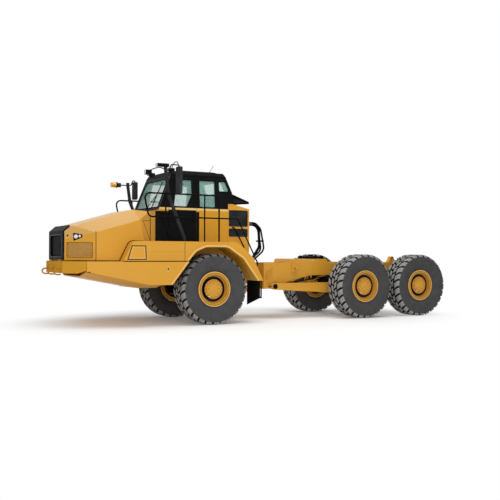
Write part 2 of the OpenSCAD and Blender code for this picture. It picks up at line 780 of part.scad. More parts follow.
module hood_skin() difference() {
    hood_form(0, 0);
    hood_form(hood_wall, -over);
    both_sides() on_facet() {
        facet_plug(rounded(on_shares(lamp_shares), lamp_round), -hood_wall - over, over);
        facet_plug(rounded(on_shares(mesh_shares), mesh_round), -hood_wall - over, over);
    }
    block([nose_x - hood_wall - over, -grille_half, grille_low_z],
          [nose_x + over, grille_half, grille_top_z]);
}

lens_r = 52;
lens_t = 12;
// Middles of the lenses as shares of the facet
lens_shares = [[0.365, 0.82], [0.49, 0.835]];
lens_scale_share = 0.62;

module headlamps() color(black) both_sides() on_facet() {
    outline = on_shares(lamp_shares);
    facet_plug(rounded(inset(outline, all_edges(outline, fit)), lamp_round), -hood_wall - ledge, -lens_t);
    facet_plug(rounded(inset(outline, all_edges(outline, -ledge)), lamp_round),
               -hood_wall - ledge, -hood_wall);
    for (i = [0, 1])
        translate([lens_shares[i][0] * facet_l, lens_shares[i][1] * facet_h, -hood_wall])
            cylinder(h = hood_wall - lens_t / 3, r = lens_r * (i == 0 ? 1 : lens_scale_share));
}

mesh_t = 22;

module nose_meshes() color("#6e5a3c") both_sides() on_facet() {
    outline = on_shares(mesh_shares);
    facet_plug(rounded(inset(outline, all_edges(outline, fit)), mesh_round),
               -hood_wall, -hood_wall + mesh_t);
    facet_plug(rounded(inset(outline, all_edges(outline, -ledge)), mesh_round),
               -hood_wall - mesh_t, -hood_wall);
}

// Black surround over the nose with a visor on the brow, and slats set back in its opening
slat_count = 9;
slat_t = 14;
slat_d = 26;
mouth_half_share = 0.86;
mouth_round = 110;

module grille() color(black) {
    edge = [
        [nose_x, grille_low_z - 2 * ledge], [nose_x + surround_t, grille_low_z - 2 * ledge],
        [nose_x + surround_t, brow_z + surround_t / 2], [brow_x + surround_t / 2, nose_top_z + surround_t],
        [brow_x, nose_top_z], [nose_x, brow_z]];
    mouth_half = grille_half * mouth_half_share;
    mouth_low = grille_low_z + 2 * ledge;
    mouth_top = grille_top_z - 2 * ledge;
    difference() {
        union() {
            across(-grille_half - 2 * ledge, grille_half + 2 * ledge) polygon(edge);
            block([nose_x - hood_wall, -grille_half + fit, grille_low_z + fit],
                  [nose_x, grille_half - fit, grille_top_z - fit]);
        }
        along(nose_x - hood_wall - over, nose_x + surround_t + over) polygon(rounded([
            [-mouth_half, mouth_low], [mouth_half, mouth_low], [mouth_half, mouth_top],
            [-mouth_half, mouth_top]], mouth_round));
    }
    pitch = (mouth_top - mouth_low) / slat_count;
    intersection() {
        for (i = [0 : slat_count - 1])
            block([nose_x - hood_wall, -grille_half, mouth_low + pitch * i + slat_t],
                  [nose_x - hood_wall + slat_d, grille_half, mouth_low + pitch * i + 2 * slat_t]);
        block([nose_x - hood_wall, -mouth_half - ledge, mouth_low - ledge],
              [nose_x, mouth_half + ledge, mouth_top + ledge]);
    }
}

// Cowl between the hood and the cab, narrowing towards the cab
cowl_plan = [
    [cab_front_x + seam / 2, -cab_half], [hood_rear_x + over, -hood_half], [hood_rear_x + over, hood_half],
    [cab_front_x + seam / 2, cab_half]];

module cowl() color(paint) intersection() {
    across(-body_half, body_half) polygon([
        [cab_front_x + seam / 2, deck_z + seam], [hood_heel_x - seam, deck_z + seam],
        [hood_rear_x - seam, hood_rear_z - seam], [cab_front_x + seam / 2, sill_z - 2 * panel_t]]);
    upright(0, roof_z) polygon(cowl_plan);
    translate([brow_x, 0, nose_top_z]) rotate([0, hood_tilt, 0]) along(-wheelbase / 2, 0)
        polygon(inset(hood_section, all_edges(hood_section, seam)));
}

// Cab: the form where its side view and its front view meet, then hollowed and cut

cab_rear_x = -cab_back;
cab_l = cab_front_x - cab_rear_x;
screen_low_back = 100;
screen_top_back = 420;
screen_low_x = cab_front_x - screen_low_back;
screen_top_x = cab_front_x - screen_top_back;
cap_drop = 120;
cap_z = roof_z - cap_drop;
brow_drop = 80;
tail_out = 125;
tail_low_drop = 710;
tail_top_drop = 460;
tail_low_z = roof_z - tail_low_drop;
tail_top_z = roof_z - tail_top_drop;
roof_in = 120;
lean_in = 60;

cab_side = [
    [cab_rear_x, deck_z + seam], [cab_front_x, deck_z + seam], [cab_front_x, sill_z - panel_t],
    [screen_low_x, sill_z], [screen_top_x, roof_z - brow_drop], [screen_top_x - panel_t, roof_z],
    [cab_rear_x + 2 * panel_t, roof_z], [cab_rear_x + panel_t, roof_z - brow_drop],
    [cab_rear_x - tail_out, tail_top_z], [cab_rear_x - tail_out, tail_low_z], [cab_rear_x, tail_low_z]];
cab_face = [
    [-cab_half, 0], [cab_half, 0], [cab_half, sill_z], [cab_half - lean_in, roof_z - brow_drop],
    [cab_half - lean_in - roof_in, roof_z + brow_drop], [lean_in + roof_in - cab_half, roof_z + brow_drop],
    [lean_in - cab_half, roof_z - brow_drop], [-cab_half, sill_z]];

module cab_form(depth) intersection() {
    across(-body_half, body_half) polygon(inset(cab_side, all_edges(cab_side, depth)));
    along(cab_rear_x - body_half, cab_front_x + body_half)
        polygon(inset(cab_face, all_edges(cab_face, depth)));
}

// Window corners as shares of the cab's length, from its rear, and of the windows' height
door_pane_shares = [[0.57, 0.1], [0.755, 0.1], [0.73, 0.5], [0.69, 0.98], [0.5, 0.98], [0.5, 0.5]];
side_pane_shares = [[0.178, 0.1], [0.4, 0.1], [0.4, 0.98], [0.178, 0.98]];
quarter_pane_shares = [[-0.03, 0.64], [0.125, 0.64], [0.125, 0.98], [0.035, 0.98]];
// Window corners as shares of the cab's half width and of the windows' height
screen_shares = [[-0.84, 0.08], [0.84, 0.08], [0.8, 1], [-0.8, 1]];
rear_pane_shares = [[-0.66, 0.66], [0.66, 0.66], [0.62, 1], [-0.62, 1]];
glass_h = header_z - sill_z;
pane_round = 40;
glass_depth = 14;
function side_pane(shares, d) =
    let (p = [for (s = shares) [cab_rear_x + s[0] * cab_l, sill_z + s[1] * glass_h]])
    rounded(inset(p, all_edges(p, d)), pane_round);
function face_pane(shares, d) =
    let (p = [for (s = shares) [s[0] * cab_half, sill_z + s[1] * glass_h]])
    rounded(inset(p, all_edges(p, d)), pane_round);

door_back = 330;
door_sill_h = 70;
door_over_h = 30;
door_front_x = cab_front_x - door_back;
door_low_z = deck_z + door_sill_h;
door_top_z = header_z + door_over_h;
door_round = 50;
door_lean = 180;
door_outline = [
    [door_front_x - door_w, door_low_z], [door_front_x, door_low_z], [door_front_x, sill_z],
    [door_front_x - door_lean, door_top_z], [door_front_x - door_w, door_top_z]];

module fixed_openings(d) {
    across(0, body_half) {
        polygon(side_pane(side_pane_shares, d));
        polygon(side_pane(quarter_pane_shares, d));
    }
    across(-body_half, 0) {
        polygon(side_pane(side_pane_shares, d));
        polygon(side_pane(quarter_pane_shares, d));
        polygon(side_pane(door_pane_shares, d));
    }
    along(0, cab_front_x + over) polygon(face_pane(screen_shares, d));
    along(cab_rear_x - tail_out - over, 0) polygon(face_pane(rear_pane_shares, d));
}

module cab_shell() color(black) difference() {
    cab_form(0);
    cab_form(cab_wall);
    fixed_openings(0);
    across(cab_half / 2, body_half) polygon(rounded(door_outline, door_round));
    block([cab_rear_x - body_half, -body_half, cap_z], [cab_front_x + over, body_half, roof_z + over]);
}

module cab_roof() color(black) difference() {
    cab_form(0);
    cab_form(cab_wall);
    block([cab_rear_x - body_half, -body_half, 0], [cab_front_x + over, body_half, cap_z]);
}

module cab_glass() color(tinted) intersection() {
    difference() {
        cab_form(glass_depth);
        cab_form(glass_depth + glass_t);
    }
    fixed_openings(fit);
}

hinge_pin_r = 14;
knuckle_h = 90;
knuckle_shares = [0.12, 0.62];
hinge_out = 16;

module cab_door() color(black) {
    difference() {
        intersection() {
            difference() {
                cab_form(0);
                cab_form(cab_wall);
            }
            across(cab_half / 2, body_half)
                polygon(rounded(inset(door_outline, all_edges(door_outline, seam)), door_round - seam));
        }
        across(0, body_half) polygon(side_pane(door_pane_shares, 0));
    }
    for (s = knuckle_shares) {
        z = door_low_z + s * (sill_z - door_low_z);
        translate([door_front_x, cab_half + hinge_out, z]) cylinder(h = knuckle_h, r = hinge_pin_r);
        block([door_front_x - 5 * hinge_pin_r, cab_half - over, z],
              [door_front_x, cab_half + hinge_out, z + knuckle_h]);
    }
}

module door_glass() color(tinted) intersection() {
    difference() {
        cab_form(glass_depth);
        cab_form(glass_depth + glass_t);
    }
    across(0, body_half) polygon(side_pane(door_pane_shares, fit));
}

// Inside the cab: a sprung seat, and a desk with a column and steering wheel
floor_z = deck_z + seam + cab_wall;
seat_x = 60;
seat_w = 520;
seat_l = 500;
seat_h = 480;
cushion_h = 130;
seat_clear = 267;
back_top_z = header_z - seat_clear;
back_t = 120;
pedestal_w = 360;

module operator_seat() color(black) {
    block([seat_x - pedestal_w / 2, -pedestal_w / 2, floor_z],
          [seat_x + pedestal_w / 2, pedestal_w / 2, floor_z + seat_h - cushion_h]);
    block([seat_x - seat_l / 2, -seat_w / 2, floor_z + seat_h - cushion_h],
          [seat_x + seat_l / 2, seat_w / 2, floor_z + seat_h]);
    block([seat_x - seat_l / 2 - back_t, -seat_w / 2, floor_z + seat_h - cushion_h],
          [seat_x - seat_l / 2, seat_w / 2, back_top_z]);
}

dash_x = 820;
dash_rise = 80;
dash_top_z = sill_z + dash_rise;
wheel_r = 215;
wheel_tube_r = 17;
wheel_tilt = 28;
wheel_back = 250;
column_r = 38;
column_drop = 420;

module dashboard() color(black) {
    front = cab_front_x - cab_wall;
    across(cab_wall + over - cab_half, cab_half - cab_wall - over) polygon([
        [dash_x, floor_z], [front, floor_z], [front, sill_z - panel_t - cab_wall],
        [dash_x + cab_wall, dash_top_z - panel_t], [dash_x - cab_wall, dash_top_z - 2 * panel_t]]);
    translate([dash_x - wheel_back, 0, dash_top_z + wheel_tube_r]) rotate([0, -wheel_tilt, 0]) {
        rotate_extrude() translate([wheel_r, 0]) circle(wheel_tube_r);
        translate([0, 0, -wheel_tube_r / 2]) {
            for (a = [90, 210, 330])
                rotate([0, 0, a]) block([0, -wheel_tube_r, 0], [wheel_r, wheel_tube_r, wheel_tube_r]);
            translate([0, 0, -column_drop]) cylinder(h = column_drop, r = column_r);
        }
    }
}

// Housing behind the cab with louvred sides, and a shade that runs back over it
housing_l = 570;
housing_gap = 15;
housing_fall = 105;
housing_top_z = tail_low_z - housing_gap;
housing_rear_z = housing_top_z - housing_fall;
louvre_recess = 30;
// Columns: rear end, front end, bottom and top, as shares of the housing's length and height
louvre_shares = [[0.09, 0.95, 0.55, 0.87], [0.09, 0.95, 0.34, 0.49]];
blade_t = 12;
blade_pitch = 44;
housing_x = cab_rear_x - seam / 2;
function louvre_box(s) = [
    housing_x - housing_l * (1 - s[0]), housing_x - housing_l * (1 - s[1]),
    housing_low_z + (housing_top_z - housing_low_z) * s[2],
    housing_low_z + (housing_top_z - housing_low_z) * s[3]];

module rear_housing() color(paint) difference() {
    across(-cab_half, cab_half) polygon([
        [housing_x, housing_low_z], [housing_x, housing_top_z], [housing_x - tail_out - seam, housing_top_z],
        [housing_x - housing_l, housing_rear_z], [housing_x - housing_l, housing_low_z]]);
    both_sides() for (s = louvre_shares) {
        b = louvre_box(s);
        block([b[0], cab_half - louvre_recess, b[2]], [b[1], cab_half + over, b[3]]);
    }
}

module rear_louvres() color(black) both_sides() for (s = louvre_shares) {
    b = louvre_box(s);
    block([b[0] + fit, cab_half - louvre_recess, b[2] + fit],
          [b[1] - fit, cab_half - louvre_recess + blade_t, b[3] - fit]);
    for (i = [0 : floor((b[3] - b[2] - blade_pitch) / blade_pitch)])
        block([b[0] + fit, cab_half - louvre_recess, b[2] + blade_t + i * blade_pitch],
              [b[1] - fit, cab_half - seam / 2, b[2] + 2 * blade_t + i * blade_pitch]);
}

shade_t = 34;
shade_l = 585;
shade_tip_x = cab_rear_x - shade_l;
shade_rise = 25;
shade_tip_z = tail_low_z + shade_rise;
shade_rib_w = 40;
shade_inset = 40;

module rear_shade() color(black) {
    root_x = cab_rear_x - tail_out;
    half = cab_half - shade_inset;
    across(-half, half) polygon([
        [root_x, tail_top_z - shade_t - over], [root_x, tail_top_z - over],
        [shade_tip_x, shade_tip_z + shade_t], [shade_tip_x, shade_tip_z]]);
    both_sides() across(half - shade_rib_w, half) difference() {
        polygon([
            [root_x, tail_low_z], [root_x, tail_top_z - over], [shade_tip_x, shade_tip_z + shade_t],
            [shade_tip_x, shade_tip_z - shade_t / 2], [root_x - tail_out, tail_low_z - shade_t / 2]]);
        polygon([
            [root_x - shade_rib_w, tail_low_z + shade_t], [root_x - shade_rib_w, tail_top_z - 3 * shade_t],
            [shade_tip_x + tail_out, shade_tip_z + shade_t / 2], [root_x - tail_out, tail_low_z + shade_t]]);
    }
}

// Handrails along the walkway: a top rail that bends into the lower rail, which runs down the fender
guard_in_y = 90;
guard_y = body_half - guard_in_y;
// Columns: side, front end of the rails
guard_fronts = [[1, 1700], [-1, 1440]];
guard_rear_x = -120;
guard_low_share = 0.51;
guard_bend = 110;
stair_top_x = -600;
stair_share = 0.6;
stair_stand = 90;
stair_bend = 60;
fender_foot = [fender_rear_x, fender_low_z];
fender_rise = [fender_slope_x, fender_slope_z] - fender_foot;
stair_foot = fender_foot + stair_share * fender_rise;
stair_out = [-unit(fender_rise)[1], unit(fender_rise)[0]];
post_shares = [0.72, 0.2];
post_r = 16;
sleeve = 2;

module handrails() color(black) for (g = guard_fronts) mirror([0, g[0] < 0 ? 1 : 0, 0]) {
    top = deck_z + guard_h;
    low = deck_z + guard_h * guard_low_share;
    guard_front_x = g[1];
    front_post_x = guard_rear_x + post_shares[0] * (guard_front_x - guard_rear_x);
    bent_tube([
        [guard_rear_x, deck_z], [guard_rear_x, top], [guard_front_x, top],
        [guard_front_x - guard_bend, low], [front_post_x, low]], guard_y, rail_r, guard_bend);
    bent_tube([
        [front_post_x + over, low], [stair_top_x, low], stair_foot + stair_stand * stair_out,
        stair_foot + run * stair_out], guard_y, rail_r - sleeve, stair_bend);
    for (s = post_shares)
        translate([guard_rear_x + s * (guard_front_x - guard_rear_x), guard_y, deck_z])
            cylinder(h = top - deck_z, r = post_r);
}

// Masts that lean forward and then stand up, with arms for the mirrors and a bracket for the beacon
mast_r = 40;
mast_in = 170;
mast_y = body_half - mast_in;
mast_foot_x = 705;
mast_knee_x = 1090;
mast_knee_h = 1025;
mast_lean_share = 0.12;
mast_stub = 70;
mast_bend = 140;
arm_r = 14;
arm_rise = 60;
arm_out = 80;
mirror_w = 230;
mirror_t = 70;
mirror_hang = 35;
// Columns: side, height of the mast above the walkway, place of the mirror along X, its height
masts = [[1, 1650, 840, 595], [-1, 1500, 960, 440]];
beacon_r = 66;
beacon_l = 130;
beacon_neck_r = 54;
beacon_neck_l = 110;
beacon_out = 190;

function mast_head(m) = [mast_knee_x + (m[1] - mast_knee_h) * mast_lean_share, mast_y, deck_z + m[1]];
function arm_top(m) = mast_head(m)[2] + arm_rise;
module on_mast_side(m) mirror([0, m[0] < 0 ? 1 : 0, 0]) children();
beacon_root = mast_head(masts[1]) - [0, 0, beacon_r];

module mirror_masts() color(black) {
    for (m = masts) on_mast_side(m) {
        head = [mast_head(m)[0], mast_head(m)[2]];
        bent_tube([
            [mast_foot_x, deck_z], [mast_foot_x, deck_z + mast_stub],
            [mast_knee_x, deck_z + mast_knee_h], head - [0, mast_stub], head], mast_y, mast_r, mast_bend, 14);
        bent_tube([
            head - [0, arm_rise], head - [arm_out, arm_rise], [head[0] - arm_out - arm_rise, arm_top(m)],
            [m[2], arm_top(m)], [m[2], arm_top(m) - mirror_hang]], mast_y, arm_r, 2 * arm_r);
    }
    mirror([0, 1, 0]) translate(beacon_root) rotate([0, 90, 0]) {
        cylinder(h = beacon_out + over, r = arm_r);
        translate([0, 0, beacon_out]) cylinder(h = beacon_neck_l, r = beacon_neck_r);
    }
}

module mirrors() color(black) for (m = masts) on_mast_side(m)
    along(m[2] - mirror_t / 2, m[2] + mirror_t / 2)
        translate([mast_y, arm_top(m) - mirror_hang - m[3]]) polygon(rounded([
            [-mirror_w / 2, 0], [mirror_w / 2, 0], [mirror_w / 2, m[3]], [-mirror_w / 2, m[3]]],
            pane_round));

lamp_w = 130;
lamp_h = 70;
lamp_l = 150;
lamp_back = 60;
roof_lamp_y = 620;
roof_lamp_out = 60;

module lamps() color(black) {
    head = mast_head(masts[0]);
    block([head[0] - lamp_back, mast_y - lamp_w / 2, head[2]],
          [head[0] - lamp_back + lamp_l, mast_y + lamp_w / 2, head[2] + lamp_h]);
    both_sides() block([screen_top_x - panel_t - lamp_l + roof_lamp_out, roof_lamp_y - lamp_w / 2, roof_z],
                       [screen_top_x - panel_t + roof_lamp_out, roof_lamp_y + lamp_w / 2, roof_z + lamp_h]);
}

module beacon() color("#d9822b") mirror([0, 1, 0])
    translate(beacon_root + [beacon_out + beacon_neck_l, 0, 0]) rotate([0, 90, 0]) rotate_extrude()
        polygon(concat(
            [[0, 0]], bent_path([[beacon_r, 0], [beacon_r, beacon_l], [0, beacon_l]], beacon_r / 2)));

// Hoses from the housing down to the hitch
hose_r = 22;
hose_bend = 170;
hose_top_z = 2430;
hose_back = 410;
hose_waist_back = 380;
hose_waist_z = 1850;
hose_end_back = 250;
hose_pitch = 85;
carrier_z = hitch_z + yoke_h / 2 + ear_t + step_gap;
carrier_t = 24;

module hoses() color(black) for (i = [-1.5 : 1 : 1.5]) {
    z = hose_top_z - abs(i) * hose_pitch;
    bent_tube([
        [housing_x - housing_l, z], [hitch_x - hose_back, z], [hitch_x - hose_waist_back, hose_waist_z],
        [hitch_x - hose_end_back, carrier_z + carrier_t + step_gap]], i * hose_pitch, hose_r, hose_bend);
}

// Hitch: a yoke on upright pins, the shaft that the rear frame rolls on, arms for the cylinders

yoke_r = 150;
neck_r = 100;
neck_h = 130;
shaft_l = 760;
arm_t = 34;
arm_z = steer_z - eye_h / 2 - step_gap - arm_t;
carrier_r = 150;
carrier_l = 320;

module hitch_yoke() color(paint) translate([hitch_x, 0, 0]) {
    base = hitch_z - yoke_h / 2 + step_gap;
    translate([0, 0, base]) cylinder(h = neck_h, r = neck_r);
    translate([0, 0, base + neck_h]) cylinder(h = yoke_h - 2 * step_gap - neck_h, r = yoke_r);
    translate([0, 0, base - step_gap - ear_t])
        cylinder(h = carrier_z - base + step_gap + ear_t + carrier_t, r = pin_r);
    translate([0, 0, hitch_z]) rotate([0, -90, 0]) cylinder(h = shaft_l, r = roll_r);
    both_sides() upright(arm_z, arm_z + arm_t) union() {
        translate(steer_arm) circle(eye_r);
        polygon([
            [steer_arm[0] + eye_r, 0], [steer_arm[0] + eye_r, steer_arm[1]],
            [steer_arm[0] - eye_r, steer_arm[1]], [steer_arm[0] - eye_r, 0]]);
    }
    upright(carrier_z, carrier_z + carrier_t) union() {
        circle(carrier_r);
        polygon([
            [-carrier_l, -carrier_r], [0, -carrier_r], [0, carrier_r], [-carrier_l, carrier_r]]);
    }
}

// Steering cylinders, each drawn along its own line from the base pin to the arm
steer_line = steer_arm - steer_base;
steer_l = norm(steer_line);
steer_turn = atan2(steer_line[1], steer_line[0]);
barrel_r = 60;
barrel_end = 740;
bore_start = 290;
steer_rod_r = 35;
rod_in = 500;
gland_r = 66;
gland_l = 50;

module along_cylinder() translate([hitch_x + steer_base[0], steer_base[1], steer_z])
    rotate([0, 0, steer_turn]) children();

module steer_barrel() color(black) along_cylinder() difference() {
    union() {
        cylinder(h = eye_h, r = eye_r, center = true);
        rotate([0, 90, 0]) cylinder(h = barrel_end, r = barrel_r - step_gap);
        translate([barrel_end - gland_l, 0, 0]) rotate([0, 90, 0])
            cylinder(h = gland_l, r = gland_r - step_gap);
    }
    cylinder(h = 2 * eye_r + over, r = steer_pin_r + run, center = true);
    translate([bore_start, 0, 0]) rotate([0, 90, 0])
        cylinder(h = barrel_end, r = steer_rod_r + run);
}

module steer_rod() color(steel) along_cylinder() {
    translate([rod_in, 0, 0]) rotate([0, 90, 0]) cylinder(h = steer_l - rod_in, r = steer_rod_r);
    translate([steer_l, 0, 0]) cylinder(h = eye_h, r = eye_r, center = true);
    translate([steer_l, 0, eye_h / 2]) cylinder(h = eye_h / 4, r = steer_pin_r);
}

// Rear frame: a bearing tube, a bulkhead and two beams that grow shallower towards the tail

bulk_back = 350;
bulk_x = hitch_x - bulk_back;
bulk_t = 70;
frame_half = frame_w / 2;
bearing_r = 235;
bearing_start = 230;
bearing_l = 480;
frame_low_z = 745;
frame_end_x = bulk_x - frame_l;
// Places along the beams as shares of the frame's length
nose_share = 0.02;
knee_share = 0.16;
waist_share = 0.298;
knee_z = 930;
beam_low_z = 1070;
tail_low_beam_z = 1140;
hinge_ahead = 550;
hinge_x = frame_end_x + hinge_ahead;
hinge_z = 1505;
ear_round = 62;
ear_foot = 150;
trunnion_x = (mid_x + tail_x) / 2;
trunnion_z = 1035;
trunnion_r = 70;
hanger_half = 100;
link_back = 220;
link_x = bulk_x - link_back;
link_z = 810;
link_r = 50;
link_out = 670;
hoist_back = 900;
hoist_x = bulk_x - hoist_back;
hoist_z = 1265;
hoist_out = 120;
hoist_plate = [180, 25, 230];
tube_r = 75;
shaft_bulk_back = 600;
shaft_bulk_x = bulk_x - shaft_bulk_back;
shaft_bulk_low_z = 850;
shaft_bulk_h = 350;
cross_shares = [0.5, 0.74, 0.97];
// Slanted stays on the outside of the beams, next to the bulkhead
stay_count = 3;
stay_pitch = 75;
stay_t = 22;
stay_foot = [bulk_x - 2 * over, hitch_z - 2 * over];
stay_rise = [-210, 140];
// Wear pads that the body lies on
rest_share = 0.585;
rest_l = 420;
rest_w = 90;
rest_h = 14;

beam_outline = [
    [frame_end_x, tail_low_beam_z], [bulk_x - frame_l * waist_share, beam_low_z],
    [bulk_x - frame_l * knee_share, knee_z], [bulk_x - frame_l * nose_share, frame_low_z],
    [bulk_x, frame_low_z], [bulk_x, beam_top_z], [frame_end_x, beam_top_z]];

module rear_frame() color(paint) difference() {
    union() {
        both_sides() {
            across(frame_half - beam_w, frame_half) {
                polygon(beam_outline);
                translate([hinge_x, hinge_z]) circle(ear_round);
                polygon([
                    [hinge_x - ear_foot, beam_top_z - over], [hinge_x + ear_foot, beam_top_z - over],
                    [hinge_x + ear_round, hinge_z], [hinge_x - ear_round, hinge_z]]);
            }
            block([trunnion_x - hanger_half, frame_half - beam_w, trunnion_z - trunnion_r],
                  [trunnion_x + hanger_half, frame_half, beam_top_z - over]);
            translate([hoist_x, frame_half, hoist_z]) {
                block([-hoist_plate[0] / 2, -over, -hoist_plate[2] / 2],
                      [hoist_plate[0] / 2, hoist_plate[1], hoist_plate[2] / 2]);
                rotate([-90, 0, 0]) cylinder(h = hoist_plate[1] + hoist_out, r = hoist_r);
            }
            for (i = [0 : stay_count - 1]) translate([0, 0, i * stay_pitch])
                across(frame_half - over, frame_half + stay_t) polygon([
                    stay_foot, stay_foot + stay_rise, stay_foot + stay_rise + [0, stay_t],
                    stay_foot + [0, stay_t]]);
            translate([bulk_x - frame_l * rest_share, frame_half - beam_w / 2, beam_top_z])
                block([-rest_l / 2, -rest_w / 2, -over], [rest_l / 2, rest_w / 2, rest_h]);
        }
        block([bulk_x - bulk_t, -frame_half, frame_low_z], [bulk_x, frame_half, beam_top_z]);
        block([shaft_bulk_x - bulk_t, -frame_half + over, shaft_bulk_low_z],
              [shaft_bulk_x, frame_half - over, shaft_bulk_low_z + shaft_bulk_h]);
        translate([hitch_x - bearing_start, 0, hitch_z]) rotate([0, -90, 0])
            cylinder(h = bearing_l, r = bearing_r);
        translate([trunnion_x, 0, trunnion_z]) rotate([90, 0, 0])
            cylinder(h = 2 * (pad_y + pad_w), r = trunnion_r, center = true);
        translate([link_x, 0, link_z]) rotate([90, 0, 0])
            cylinder(h = 2 * link_out, r = link_r, center = true);
        for (s = cross_shares)
            translate([bulk_x - frame_l * s, 0, beam_top_z - 2 * tube_r]) rotate([90, 0, 0])
                cylinder(h = frame_w - beam_w, r = tube_r, center = true);
    }
    translate([hitch_x, 0, hitch_z]) rotate([0, -90, 0]) cylinder(h = shaft_l + over, r = roll_r + run);
    translate([hinge_x, 0, hinge_z]) rotate([90, 0, 0])
        cylinder(h = frame_w + 2 * over, r = hinge_r, center = true);
}

// Two humps across the beams, tied by a strip along each beam
// Columns: front and rear ends behind the hoist pins, height
humps = [[-80, 180, 100], [570, 1030, 95]];
hump_slope = 45;
hump_round = 36;
strip_h = 24;

module hoist_saddle() color(paint) {
    for (h = humps) across(-frame_half, frame_half) translate([hoist_x, beam_top_z]) polygon(bent_path([
        [-h[0], 0], [-h[0] - hump_slope, h[2]], [hump_slope - h[1], h[2]], [-h[1], 0]], hump_round, 4));
    both_sides() block([hoist_x - humps[1][1] + hump_slope, frame_half - beam_w, beam_top_z],
                       [hoist_x - humps[0][0] - hump_slope, frame_half, beam_top_z + strip_h]);
}

walk_h = 150;
walk_mid_h = 250;
walk_mid_l = 500;

module walking_beams() color(black) both_sides() difference() {
    z = axle_z + axle_r + pad_h;
    across(pad_y, pad_y + pad_w) polygon([
        [tail_x - pad_l / 2, z], [trunnion_x - walk_mid_l / 2, z],
        [trunnion_x - walk_mid_l / 4, z - pad_h * 2], [trunnion_x + walk_mid_l / 4, z - pad_h * 2],
        [trunnion_x + walk_mid_l / 2, z], [mid_x + pad_l / 2, z],
        [mid_x + pad_l / 2, z + walk_h / 2], [trunnion_x + walk_mid_l / 2, z + walk_mid_h - pad_h * 2],
        [trunnion_x - walk_mid_l / 2, z + walk_mid_h - pad_h * 2], [tail_x - pad_l / 2, z + walk_h / 2]]);
    translate([trunnion_x, 0, trunnion_z]) rotate([-90, 0, 0])
        cylinder(h = pad_y + pad_w + over, r = trunnion_r + fit);
}

arm_w = 100;
arm_in = 560;
arm_eye_r = 80;
arm_rear_h = 190;
arm_rear_z = 700;
arm_end = 160;

module link_arms() color(paint) both_sides() difference() {
    across(arm_in, arm_in + arm_w) union() {
        translate([link_x, link_z]) circle(arm_eye_r);
        polygon([
            [link_x, link_z + arm_eye_r], [link_x, link_z - arm_eye_r],
            [mid_x + 3 * arm_end, arm_rear_z - arm_eye_r], [mid_x + arm_end, arm_rear_z],
            [mid_x + arm_end, arm_rear_z + arm_rear_h], [mid_x + 3 * arm_end, arm_rear_z + arm_rear_h]]);
    }
    translate([link_x, 0, link_z]) rotate([-90, 0, 0])
        cylinder(h = link_out + over, r = link_r + fit);
}

module rear_axles() color(black) for (x = [mid_x, tail_x]) translate([x, 0, axle_z]) {
    axle(x == mid_x ? [-1, 1] : [1]);
    if (x == mid_x) both_sides()
        block([0, arm_in, arm_rear_z + pad_h - axle_z],
              [arm_end, arm_in + arm_w, arm_rear_z + arm_rear_h - pad_h - axle_z]);
}

prop_r = 55;
joint_r = 95;
joint_l = 90;

// A shaft between two faces, with a flange at each end
module prop_shaft(a, b) {
    rod_between(a, b, prop_r);
    rod_between(a, a + joint_l * unit(b - a), joint_r);
    rod_between(b - joint_l * unit(b - a), b, joint_r);
}

module drive_shafts() color(black) {
    face = bowl_r + snout_l - bowl_half;
    prop_shaft([mid_x + face, 0, axle_z], [shaft_bulk_x - bulk_t, 0, axle_z]);
    prop_shaft([tail_x + face, 0, axle_z], [mid_x - face, 0, axle_z]);
}

module left_barrel() steer_barrel();
module right_barrel() mirror([0, 1, 0]) steer_barrel();
module left_rod() steer_rod();
module right_rod() mirror([0, 1, 0]) steer_rod();

from_axle() front_frame();
from_axle() bumper();
from_axle() tow_eyes();
from_axle() side_skirts();
from_axle() belly_guard();
from_axle() fenders();
from_axle() mud_flaps();
from_axle() lower_steps();
from_axle() front_axle();
from_axle() front_struts();
from_axle() engine();
from_axle() radiator();
from_axle() hood();
from_axle() grille();
from_axle() headlamps();
from_axle() nose_meshes();
from_axle() cowl();
from_axle() cab_shell();
from_axle() cab_roof();
from_axle() cab_glass();
from_axle() cab_door();
from_axle() door_glass();
from_axle() operator_seat();
from_axle() dashboard();
from_axle() rear_housing();
from_axle() rear_louvres();
from_axle() rear_shade();
from_axle() handrails();
from_axle() mirror_masts();
from_axle() mirrors();
from_axle() lamps();
from_axle() beacon();
from_axle() hoses();
from_axle() hitch_yoke();
from_axle() left_barrel();
from_axle() right_barrel();
from_axle() left_rod();
from_axle() right_rod();
from_axle() rear_frame();
from_axle() hoist_saddle();
from_axle() walking_beams();
from_axle() link_arms();
from_axle() rear_axles();
from_axle() drive_shafts();
for (w = WHEELS) {
    from_axle() at_wheel(w) tyre();
    from_axle() at_wheel(w) rim();
}
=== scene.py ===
import json
import math
import bmesh
import bpy
import numpy as np
from mathutils import Matrix, Vector


